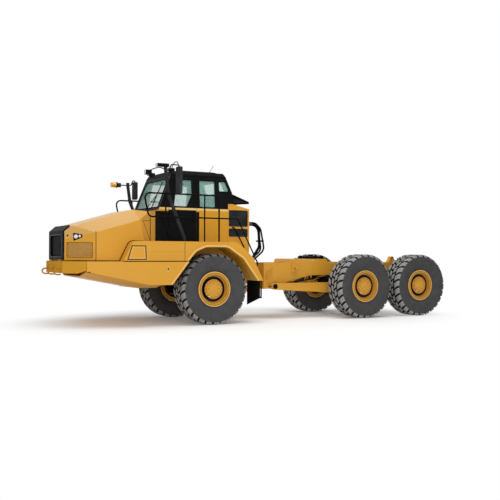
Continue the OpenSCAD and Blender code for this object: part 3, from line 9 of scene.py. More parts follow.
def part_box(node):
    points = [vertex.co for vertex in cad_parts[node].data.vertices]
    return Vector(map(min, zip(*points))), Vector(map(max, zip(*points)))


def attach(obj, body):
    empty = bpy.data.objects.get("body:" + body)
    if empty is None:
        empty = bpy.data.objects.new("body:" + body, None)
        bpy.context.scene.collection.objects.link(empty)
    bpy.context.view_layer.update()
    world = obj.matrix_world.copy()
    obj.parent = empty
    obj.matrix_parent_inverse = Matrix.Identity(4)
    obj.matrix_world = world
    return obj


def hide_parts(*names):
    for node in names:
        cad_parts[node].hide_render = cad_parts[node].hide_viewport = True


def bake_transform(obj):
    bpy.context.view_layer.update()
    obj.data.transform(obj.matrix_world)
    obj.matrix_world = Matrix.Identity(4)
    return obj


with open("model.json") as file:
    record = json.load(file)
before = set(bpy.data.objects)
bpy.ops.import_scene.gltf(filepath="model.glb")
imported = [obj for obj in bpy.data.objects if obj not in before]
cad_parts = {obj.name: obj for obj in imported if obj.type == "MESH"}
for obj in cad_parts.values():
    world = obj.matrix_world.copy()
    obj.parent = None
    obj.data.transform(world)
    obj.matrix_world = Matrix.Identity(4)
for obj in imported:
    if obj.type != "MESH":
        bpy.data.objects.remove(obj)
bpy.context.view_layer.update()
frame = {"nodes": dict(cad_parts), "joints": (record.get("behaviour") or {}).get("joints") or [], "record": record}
nodes = frame["nodes"]
jointPos = {j["name"]: np.array(j.get("pos_m") or (0, 0, 0), float) for j in frame["joints"]}
frontAxle = float(jointPos["front_left_spin"][0])  # lengths along X are given from the front axle
axleZ = float(jointPos["front_left_spin"][2])
axleShift = np.array((frontAxle, 0.0, 0.0))
print("frame loaded with", len(nodes), "nodes")

# Camera fitted to the photograph
photoCamera = {
    "place": (7.5754, 17.0076, 1.6004),  # metres, X from the front axle
    "yaw": -118.5024, "pitch": 0.3407, "roll": 0.2342,  # degrees
    "focalPixels": 763.0, "framePixels": 500.0, "sensor": 36.0, "far": 200.0,
}


def addObject(name, data):
    obj = bpy.data.objects.new(name, data)
    bpy.context.scene.collection.objects.link(obj)
    return obj


def makeCamera(c):
    # Ahead from yaw and pitch, right and up square to it and turned by the roll; the lens is the sensor times a ratio
    yaw, pitch, roll = (math.radians(c[k]) for k in ("yaw", "pitch", "roll"))
    ahead = Vector((math.cos(pitch) * math.cos(yaw), math.cos(pitch) * math.sin(yaw), math.sin(pitch)))
    right = ahead.cross(Vector((0, 0, 1))).normalized()
    up = right.cross(ahead)
    rolledRight = math.cos(roll) * right + math.sin(roll) * up
    rolledUp = math.cos(roll) * up - math.sin(roll) * right
    data = bpy.data.cameras.new("photoCamera")
    data.sensor_width = c["sensor"]
    data.lens = c["focalPixels"] / c["framePixels"] * c["sensor"]
    data.clip_end = c["far"]
    camera = addObject("photoCamera", data)
    turn = Matrix((rolledRight, rolledUp, -ahead)).transposed().to_4x4()
    camera.matrix_world = Matrix.Translation(Vector(c["place"]) + Vector((frontAxle, 0, 0))) @ turn
    bpy.context.scene.camera = camera


makeCamera(photoCamera)
bpy.context.scene.view_settings.view_transform = "Standard"


# Shader maths: a socket that takes the usual operators
class Wire:
    def __init__(self, tree, socket):
        self.tree = tree
        self.socket = socket

    def node(self, kind, inputs=None, out=0, **settings):
        made = self.tree.nodes.new(kind)
        for key, value in settings.items():
            setattr(made, key, value)
        for key, value in (inputs or {}).items():
            if isinstance(value, Wire):
                self.tree.links.new(value.socket, made.inputs[key])
            else:
                made.inputs[key].default_value = value
        return Wire(self.tree, made.outputs[out])

    def maths(self, operation, first, second=0.0):
        return self.node("ShaderNodeMath", {0: first, 1: second}, operation=operation)

    def __add__(self, other):
        return self.maths("ADD", self, other)

    def __radd__(self, other):
        return self.maths("ADD", other, self)

    def __sub__(self, other):
        return self.maths("SUBTRACT", self, other)

    def __rsub__(self, other):
        return self.maths("SUBTRACT", other, self)

    def __mul__(self, other):
        return self.maths("MULTIPLY", self, other)

    def __truediv__(self, other):
        return self.maths("DIVIDE", self, other)

    def __pow__(self, other):
        return self.maths("POWER", self, other)

    def __abs__(self):
        return self.maths("ABSOLUTE", self)

    def sine(self):
        return self.maths("SINE", self)

    def larger(self, other):
        return self.maths("MAXIMUM", self, other)

    def band(self, low, high):  # 0 below low, 1 above high, smooth between
        return self.node("ShaderNodeMapRange", {0: self, 1: low, 2: high, 3: 0.0, 4: 1.0},
                         interpolation_type="SMOOTHSTEP", clamp=True)

    def near(self, middle, half, soft=0.003):  # 1 within half of the middle
        return 1 - abs(self - middle).band(half, half + soft)

    def within(self, low, high, soft=0.004):  # 1 between low and high
        return self.band(low - soft, low) * (1 - self.band(high, high + soft))

    def noise(self, scale, detail=4.0, rough=0.55):
        return self.node("ShaderNodeTexNoise", {"Vector": self, "Scale": scale, "Detail": detail, "Roughness": rough})

    def mixed(self, first, second):  # colour: self picks second over first
        return self.node("ShaderNodeMix", {0: self, 6: first, 7: second}, out=2, data_type="RGBA")

    def mottled(self, low, high, colour, dim, bright):  # one tone at two gains, picked by the band
        return self.band(low, high).mixed(tone(colour, dim), tone(colour, bright))

    def bump(self, strength, distance):
        return self.node("ShaderNodeBump", {"Height": self, "Strength": strength, "Distance": distance})


def rgb(red, green, blue):
    return (red, green, blue, 1.0)


class Finish:
    def __init__(self, name, **fixed):
        self.material = bpy.data.materials.new(name)
        self.material.use_nodes = True
        self.tree = self.material.node_tree
        self.shader = self.tree.nodes["Principled BSDF"]
        self.set(**fixed)

    def place(self):  # Object coordinates, whole and split, X from the front axle
        whole = Wire(self.tree, self.tree.nodes.new("ShaderNodeTexCoord").outputs["Object"])
        x, y, z = (whole.node("ShaderNodeSeparateXYZ", {0: whole}, out=i) for i in range(3))
        return whole, x - frontAxle, y, z

    def set(self, **values):
        for key, value in values.items():
            socket = self.shader.inputs[key.replace("_", " ")]
            if isinstance(value, Wire):
                self.tree.links.new(value.socket, socket)
            else:
                socket.default_value = value
        return self.material


def seenDirectly(tree):
    # 1 for rays from the camera, off gloss and through glass
    path = tree.nodes.new("ShaderNodeLightPath")
    camera, gloss, glass = (Wire(tree, path.outputs["Is %s Ray" % k]) for k in ("Camera", "Glossy", "Transmission"))
    return camera.larger(gloss).larger(glass)


# Finishes
finishTones = {
    "yellow": (0.665, 0.325, 0.033), "yellowShade": (0.42, 0.185, 0.018), "yellowPale": (0.86, 0.58, 0.20),
    "yellowDust": (0.50, 0.33, 0.13), "yellowEdgeHighlight": (0.78, 0.46, 0.12),
    "yellowSheen": (0.66, 0.385, 0.125), "yellowLoop": (0.50, 0.235, 0.028),
    "black": (0.0045, 0.0046, 0.0050), "seam": (0.030, 0.016, 0.004),
    "plastic": (0.0075, 0.0078, 0.0085), "louvre": (0.030, 0.031, 0.034), "mesh": (0.52, 0.285, 0.070),
    "casting": (0.105, 0.108, 0.112), "rubber": (0.0060, 0.0060, 0.0064), "tyre": (0.070, 0.068, 0.070),
    "tyreDustAndHighlight": (0.27, 0.265, 0.262), "groove": (0.012, 0.012, 0.012), "glass": (0.46, 0.80, 0.70),
    "amber": (0.86, 0.42, 0.05), "red": (0.42, 0.012, 0.01), "fabric": (0.022, 0.023, 0.026),
    "clear": (0.80, 0.82, 0.84), "grit": (0.030, 0.029, 0.027),
    "rod": (0.62, 0.63, 0.65), "rodPale": (0.78, 0.79, 0.81),
}


def tone(name, gain=1.0):
    # A named tone times a gain, at most 1
    return rgb(*(min(1.0, c * gain) for c in finishTones[name]))


def edgeRange(x, z, corners):
    # Distance from a convex outline: the largest of the distances from its edges, negative inside
    corners = np.array(corners, float)
    after = np.roll(corners, -1, 0)
    area = np.sum(corners[:, 0] * after[:, 1] - corners[:, 1] * after[:, 0])
    run = (after - corners) / np.linalg.norm(after - corners, axis=1, keepdims=True)
    out = np.stack([run[:, 1], -run[:, 0]], 1) * (1 if area > 0 else -1)
    reach = None
    for (nx, nz), c in zip(out.tolist(), np.sum(out * corners, axis=1).tolist()):
        edge = x * nx + z * nz - c
        reach = edge if reach is None else reach.larger(edge)
    return reach


def paintFinish(name, marks=None, colour="yellow", gloss=0.22, ior=1.5):
    # Sprayed coat: slow drift of tone, orange peel, dust that thins out with height, and pressed lines
    finish = Finish(name, IOR=ior, Specular_IOR_Level=gloss, Coat_Weight=gloss * 0.27, Coat_Roughness=0.12)
    place, x, y, z = finish.place()
    drift = place.noise(0.8, 3.0)
    dustLow, dustHigh = 0.25, 1.2
    dust = (1 - z.band(dustLow, dustHigh)) * place.noise(30.0, 6.0, 0.65).band(0.46, 0.74) * 0.24
    base = dust.mixed(drift.mottled(0.3, 0.7, colour, 0.965, 1.03), tone("yellowDust"))
    height = place.noise(260.0, 2.0) * 0.06
    for mask, ink, depth in (marks(place, x, y, z) if marks else []):
        base = mask.mixed(base, ink)
        height = height - mask * depth
    return finish.set(Base_Color=base, Roughness=0.36 + drift * 0.07 + dust * 0.5, Normal=height.bump(0.5, 0.004))


panelMarks = {
    "hatch": ((2.058, 1.487), (1.668, 1.487), (1.681, 1.776), (1.972, 1.776)), "hatchLine": 0.010,
    "fenderSeam": 0.763, "crease": 1.655, "creaseRun": (0.79, 1.60), "deck": 1.885, "waist": 1.445,
    "gritLength": (-0.40, 1.12), "gritWidth": (0.95, 1.24), "wingFace": (1.20, 1.24), "skirtFace": (1.0, 1.05),
    "hole": (1.159, 1.275), "holeStretch": 0.45, "slot": (2.883, 1.209), "slotHalf": (0.036, 0.011),
    "hoodSeam": {"x": 2.684, "face": (1.00, 1.02), "top": (2.08, 2.10)},
    "cowl": {"upright": 1.382, "level": 2.345, "slant": (1.592, 2.342), "slantOut": (0.904, 0.4285),
             "face": (0.80, 0.84), "top": (2.42, 2.44), "front": 1.60},
    "hoodTop": {"x": 3.11, "z": 2.20, "fall": 0.29, "chamfer": 0.26},
}


def fenderMarks(place, x, y, z):
    # A hatch pressed in the wing with a painted highlight on its pressed edge, the seam behind it, a soft crease with
    # painted shade in its line and on the face below it, and grit pads on the walkway
    p = panelMarks
    side = abs(y).band(*p["wingFace"])
    reach = edgeRange(x, z, p["hatch"])
    rim = reach.near(0.0, p["hatchLine"], 0.004) * side
    # Pale band inside the hatch line: a painted highlight on the pressed edge
    lip = reach.near(-0.020, 0.006, 0.006) * side
    seam = x.near(p["fenderSeam"], 0.006, 0.004) * z.within(p["waist"], p["deck"] - 0.01) * side
    crease = z.near(p["crease"], 0.004, 0.02) * x.within(*p["creaseRun"]) * side
    # Painted shade: the crease line and the face below the crease are darker
    below = (1 - z.band(p["crease"] - 0.10, p["crease"])) * x.within(*p["creaseRun"]) * side
    grit = z.band(p["deck"] - 0.006, p["deck"] - 0.003) * abs(y).within(*p["gritWidth"]) * x.within(*p["gritLength"])
    grain = grit * place.noise(190.0, 2.0).band(0.35, 0.7)
    return [(below * 0.16, tone("yellowShade"), 0.0), (crease * 0.25, tone("yellowShade"), 0.3),
            (lip * 0.5, tone("yellowPale"), -0.2), (rim, tone("seam"), 1.0),
            (seam * 0.75, tone("seam"), 0.8), (grit * 0.92, tone("grit"), -0.05), (grain, tone("grit", 2.2), -0.5)]


def skirtMarks(place, x, y, z):
    # A drain hole painted dark as shade, with its rim painted pale as a highlight, and the jacking slot near the bumper
    # painted dark as shade
    p = panelMarks
    (hx, hz), (sx, sz), (halfLong, halfTall) = p["hole"], p["slot"], p["slotHalf"]
    side = abs(y).band(*p["skirtFace"])
    reach = (((x - hx) / p["holeStretch"]) ** 2.0 + (z - hz) ** 2.0) ** 0.5
    slot = x.near(sx, halfLong, 0.004) * z.near(sz, halfTall, 0.004) * side
    return [(reach.near(0.046, 0.010, 0.006) * side * 0.6, tone("yellowPale"), -0.3),
            ((1 - reach.band(0.034, 0.038)) * side, tone("seam", 0.5), 1.0), (slot, tone("seam", 0.5), 1.0)]


def hoodMarks(place, x, y, z):
    # Panel seam down the shoulder of the nose; the chamfer and the top are painted paler above their crease, a painted
    # sheen
    h, s = panelMarks["hoodTop"], panelMarks["hoodSeam"]
    rise = z - (h["z"] + (h["x"] - x) * h["fall"] - h["chamfer"])
    # Painted sheen: the chamfer and the top are paler, standing in for the bright surroundings reflected in them
    paintedSheen = rise.band(0.003, 0.010) * (0.75 + rise.band(0.0, h["chamfer"]) * 0.25)
    seam = x.near(s["x"], 0.007, 0.003) * abs(y).band(*s["face"]) * (1 - z.band(*s["top"]))
    return [(paintedSheen, tone("yellowSheen"), 0.0), (seam * 0.9, tone("seam"), 0.8)]


def cowlMarks(place, x, y, z):
    # Seams ahead of the cab: one upright, one level, and one slanted along the hood's heel
    p = panelMarks["cowl"]
    (sx, sz), (nx, nz) = p["slant"], p["slantOut"]
    side = abs(y).band(*p["face"])
    upright = x.near(p["upright"], 0.009, 0.004) * (1 - z.band(*p["top"]))
    level = z.near(p["level"], 0.006, 0.004) * x.within(p["upright"], p["front"])
    slant = ((x - sx) * nx - (z - sz) * nz).near(0.0, 0.006, 0.004)
    slant = slant * (1 - z.band(p["level"] - 0.01, p["level"])) * x.band(p["upright"], p["upright"] + 0.01)
    return [(upright * side * 0.9, tone("seam"), 0.8), (level * side * 0.6, tone("seam"), 0.6),
            (slant * side * 0.7, tone("seam"), 0.6)]


def blackFinish(name, colour, rough, grain, gloss=0.08):
    # Satin black: fine grain in the bump and dusty patches in the tone and the roughness
    finish = Finish(name, IOR=1.22, Specular_IOR_Level=gloss)
    place = finish.place()[0]
    cloud = place.noise(3.5, 5.0)
    return finish.set(Base_Color=cloud.mottled(0.35, 0.75, colour, 0.85, 1.6), Roughness=rough + cloud * 0.14,
                      Normal=place.noise(grain, 3.0).bump(0.12, 0.0015))


cabBands = {"sill": (2.620, 2.668), "outerSide": 0.838, "outerFront": 1.20, "outerRear": -0.575,
            "panel": ((0.150, 1.238), (1.900, 2.582)), "panelFace": (0.843, 0.846)}


def cabFinish(name, lowToo):
    # Black cab skin with a yellow strip along the sill, and yellow below it where lowToo, save round the door
    finish = Finish(name, IOR=1.28, Specular_IOR_Level=0.12, Coat_Weight=0.01, Coat_Roughness=0.1)
    place, x, y, z = finish.place()
    b = cabBands
    outside = abs(y).band(b["outerSide"] - 0.002, b["outerSide"])
    outside = outside.larger(x.band(b["outerFront"], b["outerFront"] + 0.01))
    outside = outside.larger(1 - x.band(b["outerRear"] - 0.01, b["outerRear"]))
    strip = z.within(*b["sill"], 0.002) * outside
    cloud = place.noise(3.0, 5.0)
    base = cloud.mottled(0.35, 0.75, "black", 0.9, 1.5)
    if lowToo:
        low = (1 - z.band(b["sill"][0] - 0.002, b["sill"][0])) * outside
        panel = abs(y).band(*b["panelFace"]) * x.within(*b["panel"][0]) * z.within(*b["panel"][1])
        drift = place.noise(0.8, 3.0)
        base = (low * (1 - panel)).mixed(base, drift.mottled(0.3, 0.7, "yellow", 0.965, 1.03))
    return finish.set(Base_Color=strip.mixed(base, tone("yellowPale", 0.95)), Roughness=0.38 + cloud * 0.1,
                      Normal=place.noise(240.0, 2.0).bump(0.06, 0.002))


# shadedGap: a ring painted black as shade; seat: painted shade; flange: a painted highlight
rimBands = {"shadedGap": (0.226, 0.291), "flange": (0.374, 0.41), "seat": (0.303, 0.366), "line": 0.368}
tyreBands = {"tread": (0.735, 0.765), "rings": (0.47, 0.66), "ringRate": 620.0, "fenderShade": (0.55, 1.35)}


def fromAxle(x, z, axleX):
    # Distance from the axle: the root of the summed squares
    return ((x - axleX) ** 2.0 + (z - axleZ) ** 2.0) ** 0.5


def rimFinish(name, axleX):
    # Yellow wheel, by radius: a black ring of painted shade in the gap round the hub, the seat darkened with painted
    # shade, the flange painted pale as a highlight, and a dark line
    finish = Finish(name, IOR=1.5, Specular_IOR_Level=0.25, Coat_Weight=0.05, Coat_Roughness=0.15)
    place, x, y, z = finish.place()
    radius = fromAxle(x, z, axleX)
    ring = radius.within(*rimBands["shadedGap"], 0.003)
    seatShade = radius.within(*rimBands["seat"], 0.02)
    dust = place.noise(22.0, 6.0, 0.65).band(0.48, 0.75) * 0.35
    base = place.noise(2.2, 3.0).mottled(0.3, 0.7, "yellow", 0.90, 1.02)
    base = (seatShade * 0.55).mixed(dust.mixed(base, tone("yellowDust", 0.8)), tone("yellowShade"))
    base = (radius.within(*rimBands["flange"]) * 0.40).mixed(base, tone("yellowPale"))
    base = (radius.near(rimBands["line"], 0.004) * 0.8).mixed(base, tone("seam"))
    return finish.set(Base_Color=ring.mixed(base, tone("black")), Roughness=0.38 + dust * 0.5,
                      Normal=place.noise(180.0, 2.0).bump(0.06, 0.002))


def tyreFinish(name, axleX, fenderShade):
    # Rubber, from lugRise: block tops pale with dust and a painted highlight over grooves painted dark as shade, and a
    # grey ringed sidewall; fenderShade = the fender's painted shadow, which dims the block tops high up
    finish = Finish(name, Specular_IOR_Level=0.12)
    place, x, y, z = finish.place()
    rise = place.node("ShaderNodeAttribute", out=2, attribute_name="lugRise")
    radius = fromAxle(x, z, axleX)
    tread = radius.band(*tyreBands["tread"])
    wall = place.noise(6.0, 6.0, 0.6).mottled(0.35, 0.75, "tyre", 0.88, 1.12)
    dustAndGlint = place.noise(48.0, 5.0, 0.7).band(0.30, 0.72) * (1.0 - z.band(*tyreBands["fenderShade"]) * fenderShade)
    top = dustAndGlint.mixed(tone("tyreDustAndHighlight", 0.62 - 0.32 * fenderShade), tone("tyreDustAndHighlight", 1.6))
    crown = rise.band(0.80, 0.99).mixed(tone("groove", 0.6), top)
    rings = (radius * tyreBands["ringRate"]).sine().band(0.55, 1.0) * radius.within(*tyreBands["rings"], 0.02)
    return finish.set(Base_Color=tread.mixed(wall, crown), Roughness=0.80 - rise * 0.08,
                      Normal=(place.noise(240.0, 3.0) * 0.6 + rings * 0.35).bump(0.22, 0.002))


def meshFinish(name):
    # Perforated sheet: round holes in a square grid, sunk, and darkened as painted shade
    finish = Finish(name, Roughness=0.55, Specular_IOR_Level=0.2)
    place, x, y, z = finish.place()
    holes = (((x - abs(y)) * 250.0).sine() * (z * 350.0).sine()).band(0.25, 0.7)
    base = place.noise(3.0, 4.0).mottled(0.3, 0.7, "mesh", 0.92, 1.08)
    return finish.set(Base_Color=(holes * 0.75).mixed(base, tone("seam")), Normal=(1 - holes).bump(0.4, 0.003))


def castFinish(name):
    # Rough casting, stained in patches
    finish = Finish(name, Metallic=0.4, Specular_IOR_Level=0.3)
    place = finish.place()[0]
    stain = place.noise(2.6, 5.0)
    return finish.set(Base_Color=stain.mottled(0.35, 0.7, "casting", 0.7, 1.25), Roughness=0.5 + stain * 0.2,
                      Normal=place.noise(70.0, 6.0, 0.7).bump(0.3, 0.003))


def chromeFinish(name):
    # Plated steel with fine wear
    finish = Finish(name, Metallic=1.0)
    lines = finish.place()[0].noise(150.0, 2.0)
    return finish.set(Base_Color=lines.band(0.3, 0.7).mixed(tone("rod"), tone("rodPale")), Roughness=0.14 + lines * 0.1)


def glassFinish(name):
    # Tinted safety glass: mostly clear, with a pale green cast and a faint film
    finish = Finish(name, IOR=1.45, Specular_IOR_Level=0.5)
    film = finish.place()[0].noise(2.0, 4.0)
    return finish.set(Base_Color=film.mottled(0.3, 0.7, "glass", 0.92, 1.0), Alpha=0.23 + film * 0.08,
                      Roughness=0.04 + film * 0.04)


def fabricFinish(name):
    # Woven cloth: two crossed sines in the bump, worn patches in the tone
    finish = Finish(name, Roughness=0.92, Sheen_Weight=0.3)
    place, x, y, z = finish.place()
    weave = ((x + z) * 900.0).sine() * ((y + z) * 900.0).sine()
    return finish.set(Base_Color=place.noise(6.0, 5.0).mottled(0.35, 0.75, "fabric", 0.8, 1.6),
                      Normal=weave.bump(0.35, 0.002))


def lensFinish(name, colour):
    # Moulded lens: fine flutes that shade and bend the surface
    finish = Finish(name, IOR=1.49, Coat_Weight=0.4, Coat_Roughness=0.04)
    place, x, y, z = finish.place()
    flutes = ((y - x) * 330.0).sine()
    return finish.set(Base_Color=flutes.mottled(-0.6, 0.8, colour, 0.8, 1.15), Roughness=0.1 + flutes * 0.03,
                      Normal=flutes.bump(0.15, 0.002))


wheelNames = ["front_left", "front_right", "mid_left", "mid_right", "rear_left", "rear_right"]
wheelPlace = {w: jointPos[w + "_spin"] - axleShift for w in wheelNames}
wheelSide = {w: 1 if w.endswith("left") else -1 for w in wheelNames}
finishes = {
    "yellow_paint": paintFinish("yellowPaint"),
    "black_paint": blackFinish("satinBlackPaint", "black", 0.42, 120.0, 0.10),
    "black_plastic": blackFinish("grainedPlastic", "plastic", 0.5, 320.0),
    "bronze_mesh": meshFinish("bronzeMesh"),
    "engine_metal": castFinish("engineCasting"),
    "rod_steel": chromeFinish("platedRod"),
    "tinted_glass": glassFinish("tintedGlass"),
    "seat_fabric": fabricFinish("seatCloth"),
    "black_rubber": blackFinish("blackRubber", "rubber", 0.62, 200.0),
    "amber_plastic": lensFinish("amberLens", "amber"),
}
clearLens = lensFinish("clearLens", "clear")
redLens = lensFinish("redLens", "red")
greyLouvre = blackFinish("greyLouvre", "louvre", 0.5, 260.0)
# Masts and mirror housings in grey instead of black: a painted sheen standing in for their lit faces
mastSheenGrey = blackFinish("mastSheenGrey", "louvre", 0.45, 120.0)
nodeFinishes = {
    "fenders": paintFinish("fenderPaint", fenderMarks), "side_skirts": paintFinish("skirtPaint", skirtMarks),
    "bumper": paintFinish("bumperPaint", skirtMarks, gloss=0.0, ior=1.12),
    "hood": paintFinish("hoodPaint", hoodMarks), "cowl": paintFinish("cowlPaint", cowlMarks),
    "cab_shell": cabFinish("cabSkin", True), "cab_door": cabFinish("doorSkin", False),
    "rear_louvres": greyLouvre, "mirror_masts": mastSheenGrey, "mirrors": mastSheenGrey,
}
for w in wheelNames:
    axleX = float(wheelPlace[w][0])
    nodeFinishes["rim_" + w] = rimFinish("rimPaint_" + w, axleX)
    # The front tyres take the fender's painted shadow on their tops
    nodeFinishes["tyre_" + w] = tyreFinish("tyreRubber_" + w, axleX, 0.8 if "front" in w else 0.0)


def dress(obj, material):
    obj.data.materials.clear()
    obj.data.materials.append(material)


slotOf = {s["node"]: s["material_slot"] for s in frame["record"]["subparts"]}
for nodeName, obj in nodes.items():
    dress(obj, nodeFinishes.get(nodeName) or finishes[slotOf[nodeName]])
print("finishes on", len(nodes), "nodes")


# Pieces are made of parts, each (points, quads, triangles), with X from the front axle
def gridPart(points, wrapU=False, wrapV=False):
    # points[i, j] is the surface at parameters i and j; neighbours in both make one quad
    nu, nv = points.shape[:2]
    index = np.arange(nu * nv).reshape(nu, nv)
    rows = np.vstack([index, index[:1]]) if wrapU else index
    rows = np.hstack([rows, rows[:, :1]]) if wrapV else rows
    quads = np.stack([rows[:-1, :-1], rows[1:, :-1], rows[1:, 1:], rows[:-1, 1:]], -1).reshape(-1, 4)
    return points.reshape(-1, 3), quads, np.zeros((0, 3), int)


def capped(points):
    # A grid whose rows are closed rings, with a fan of triangles on the first and the last ring
    verts, quads, _ = gridPart(points, wrapV=True)
    nu, nv = points.shape[:2]
    ends = np.vstack([points[0].mean(0), points[-1].mean(0)])
    ring = np.arange(nv)
    after = (ring + 1) % nv
    first = np.stack([np.full(nv, nu * nv), ring, after], -1)
    last = np.stack([np.full(nv, nu * nv + 1), (nu - 1) * nv + after, (nu - 1) * nv + ring], -1)
    return np.vstack([verts, ends]), quads, np.vstack([first, last])


def repeated(part, offsets):
    # The same part moved to each offset
    verts, quads, tris = part
    offsets = np.asarray(offsets, float).reshape(-1, 1, 3)
    step = (np.arange(len(offsets)) * len(verts))[:, None, None]
    return ((verts[None] + offsets).reshape(-1, 3), (quads[None] + step).reshape(-1, 4),
            (tris[None] + step).reshape(-1, 3))


def bothSides(parts):
    # The parts and their mirror images across the middle plane
    return parts + [(v * (1, -1, 1), q, t) for v, q, t in parts]


def unit(v):
    # A vector over its own length
    v = np.asarray(v, float)
    return v / np.linalg.norm(v, axis=-1, keepdims=True)


def fullTurn(count):
    # Even angles round a circle
    return np.linspace(0, 2 * math.pi, count, endpoint=False)


def roundedPath(points, bend, steps=6, closed=False):
    # Corners become arcs: about the arc's middle, the start arm turns into the end arm
    p = np.asarray(points, float)
    corner = p if closed else p[1:-1]
    before = np.roll(p, 1, 0) if closed else p[:-2]
    after = np.roll(p, -1, 0) if closed else p[2:]
    a, b = unit(before - corner), unit(after - corner)
    half = np.arccos(np.clip(np.sum(a * b, 1), -0.9999, 0.9999)) / 2
    room = 0.49 * np.minimum(np.linalg.norm(before - corner, axis=1), np.linalg.norm(after - corner, axis=1))
    radius = np.minimum(bend, room * np.tan(half))
    reach = (radius / np.tan(half))[:, None]
    middle = corner + unit(a + b) * (radius / np.sin(half))[:, None]
    turn = (math.pi - 2 * half)[:, None]
    t = np.linspace(0, 1, steps)[None, :]
    first = (np.sin((1 - t) * turn) / np.sin(turn))[..., None]
    second = (np.sin(t * turn) / np.sin(turn))[..., None]
    arcs = middle[:, None] + first * (corner + a * reach - middle)[:, None] + \
        second * (corner + b * reach - middle)[:, None]
    arcs = arcs.reshape(-1, p.shape[1])
    return arcs if closed else np.vstack([p[:1], arcs, p[-1:]])


def rectPath(x0, y0, x1, y1, bend, steps):
    # A rectangle between two corners, its own corners rounded
    return roundedPath([(x0, y0), (x1, y0), (x1, y1), (x0, y1)], bend, steps, True)


def lifted(flat, axis, at):
    # A flat line in space: its points get the coordinate that they lack
    return np.insert(np.asarray(flat, float), axis, at, 1)


def evened(path, count):
    # The same line with its points at even steps
    path = np.asarray(path, float)
    run = np.concatenate([[0], np.cumsum(np.linalg.norm(np.diff(path, axis=0), axis=1))])
    at = np.linspace(0, run[-1], count)
    return np.stack([np.interp(at, run, path[:, k]) for k in range(path.shape[1])], 1)


def tubePart(path, radius, sides=10, flat=(0, 1, 0)):
    # A ring carried along a path: side is square to the path and to flat, up is square to both
    path = np.asarray(path, float)
    along = unit(np.gradient(path, axis=0))
    side = unit(np.cross(np.asarray(flat, float), along))
    up = np.cross(side, along)
    turn = fullTurn(sides)[None, :, None]
    wide, tall = radius if isinstance(radius, tuple) else (radius, radius)
    wide, tall = (np.broadcast_to(np.asarray(r, float), len(path))[:, None, None] for r in (wide, tall))
    return capped(path[:, None] + wide * np.cos(turn) * side[:, None] + tall * np.sin(turn) * up[:, None])


def axesAbout(axis):
    # The axis as a unit vector, and two more square to it
    axis = unit(axis)
    u = unit(np.cross(axis, (0.0, 0.0, 1.0) if abs(axis[2]) < 0.9 else (1.0, 0.0, 0.0)))
    return axis, u, np.cross(u, axis)


def lathePart(profile, centre, axis, sides=24):
    # A profile of radius and height turned about an axis
    profile = np.asarray(profile, float)
    axis, u, v = axesAbout(axis)
    turn = fullTurn(sides)[None, :, None]
    rings = profile[:, 0, None, None] * (np.cos(turn) * u + np.sin(turn) * v)
    return capped(np.asarray(centre, float) + rings + profile[:, 1, None, None] * axis)


def slabPart(outline, origin, u, v, depth, edge):
    # A flat outline given depth along u x v, drawn in at both ends to round its edges
    outline = np.asarray(outline, float)
    run = unit(np.roll(outline, -1, 0) - np.roll(outline, 1, 0))
    after = np.roll(outline, -1, 0)
    area = np.sum(outline[:, 0] * after[:, 1] - outline[:, 1] * after[:, 0])
    inward = np.stack([-run[:, 1], run[:, 0]], 1) * (1 if area > 0 else -1)
    u, v = np.asarray(u, float), np.asarray(v, float)
    rise = np.array([0, 0.3 * edge, edge, depth - edge, depth - 0.3 * edge, depth])[:, None, None]
    draw = np.array([edge, 0.3 * edge, 0, 0, 0.3 * edge, edge])[:, None, None]
    flat = outline[None] + draw * inward[None]
    return capped(np.asarray(origin, float) + flat[..., :1] * u + flat[..., 1:] * v + rise * np.cross(u, v))


def boxPart(low, high, edge):
    # A block with rounded upright corners and softened ends
    (x0, y0, z0), (x1, y1, z1) = low, high
    return slabPart(rectPath(x0, y0, x1, y1, edge, 4), (0, 0, z0), (1, 0, 0), (0, 1, 0), z1 - z0, edge)


def boltRow(size, height, axis, places):
    # Hexagon heads on washers: twelve points a ring, every other one drawn in to the flat
    axis, u, v = axesAbout(axis)
    turn = fullTurn(12)
    hexagon = np.where(np.arange(12) % 2, math.cos(math.pi / 6), 1.0)
    shares = np.array([1.35, 1.35, 1.0, 1.0, 0.82])
    heights = np.array([-0.15, 0.18, 0.20, 0.88, 1.0]) * height
    shape = np.where(np.arange(5)[:, None] < 2, 1.0, hexagon[None]) * shares[:, None] * size
    ring = np.cos(turn)[:, None] * u + np.sin(turn)[:, None] * v
    return repeated(capped(shape[..., None] * ring[None] + heights[:, None, None] * axis), places)


def ringOffsets(centre, axis, radius, count):
    # Even places on a circle about an axis
    _, u, v = axesAbout(axis)
    turn = (2 * math.pi * np.arange(count) / count)[:, None]
    return np.asarray(centre, float) + radius * (np.cos(turn) * u - np.sin(turn) * v)


def beadPart(path, normal, width, height):
    # A half-round bead carried round a closed line that lies on a face with that normal
    path = np.asarray(path, float)
    along = unit(np.roll(path, -1, 0) - np.roll(path, 1, 0))
    normal = np.broadcast_to(unit(normal), path.shape)
    side = unit(np.cross(normal, along))
    turn = fullTurn(8)[None, :, None]
    rise = np.where(np.sin(turn) > 0, height, 0.3 * height) * np.sin(turn)
    points = path[:, None] + 0.5 * width * np.cos(turn) * side[:, None] + rise * normal[:, None]
    return gridPart(points, wrapU=True, wrapV=True)


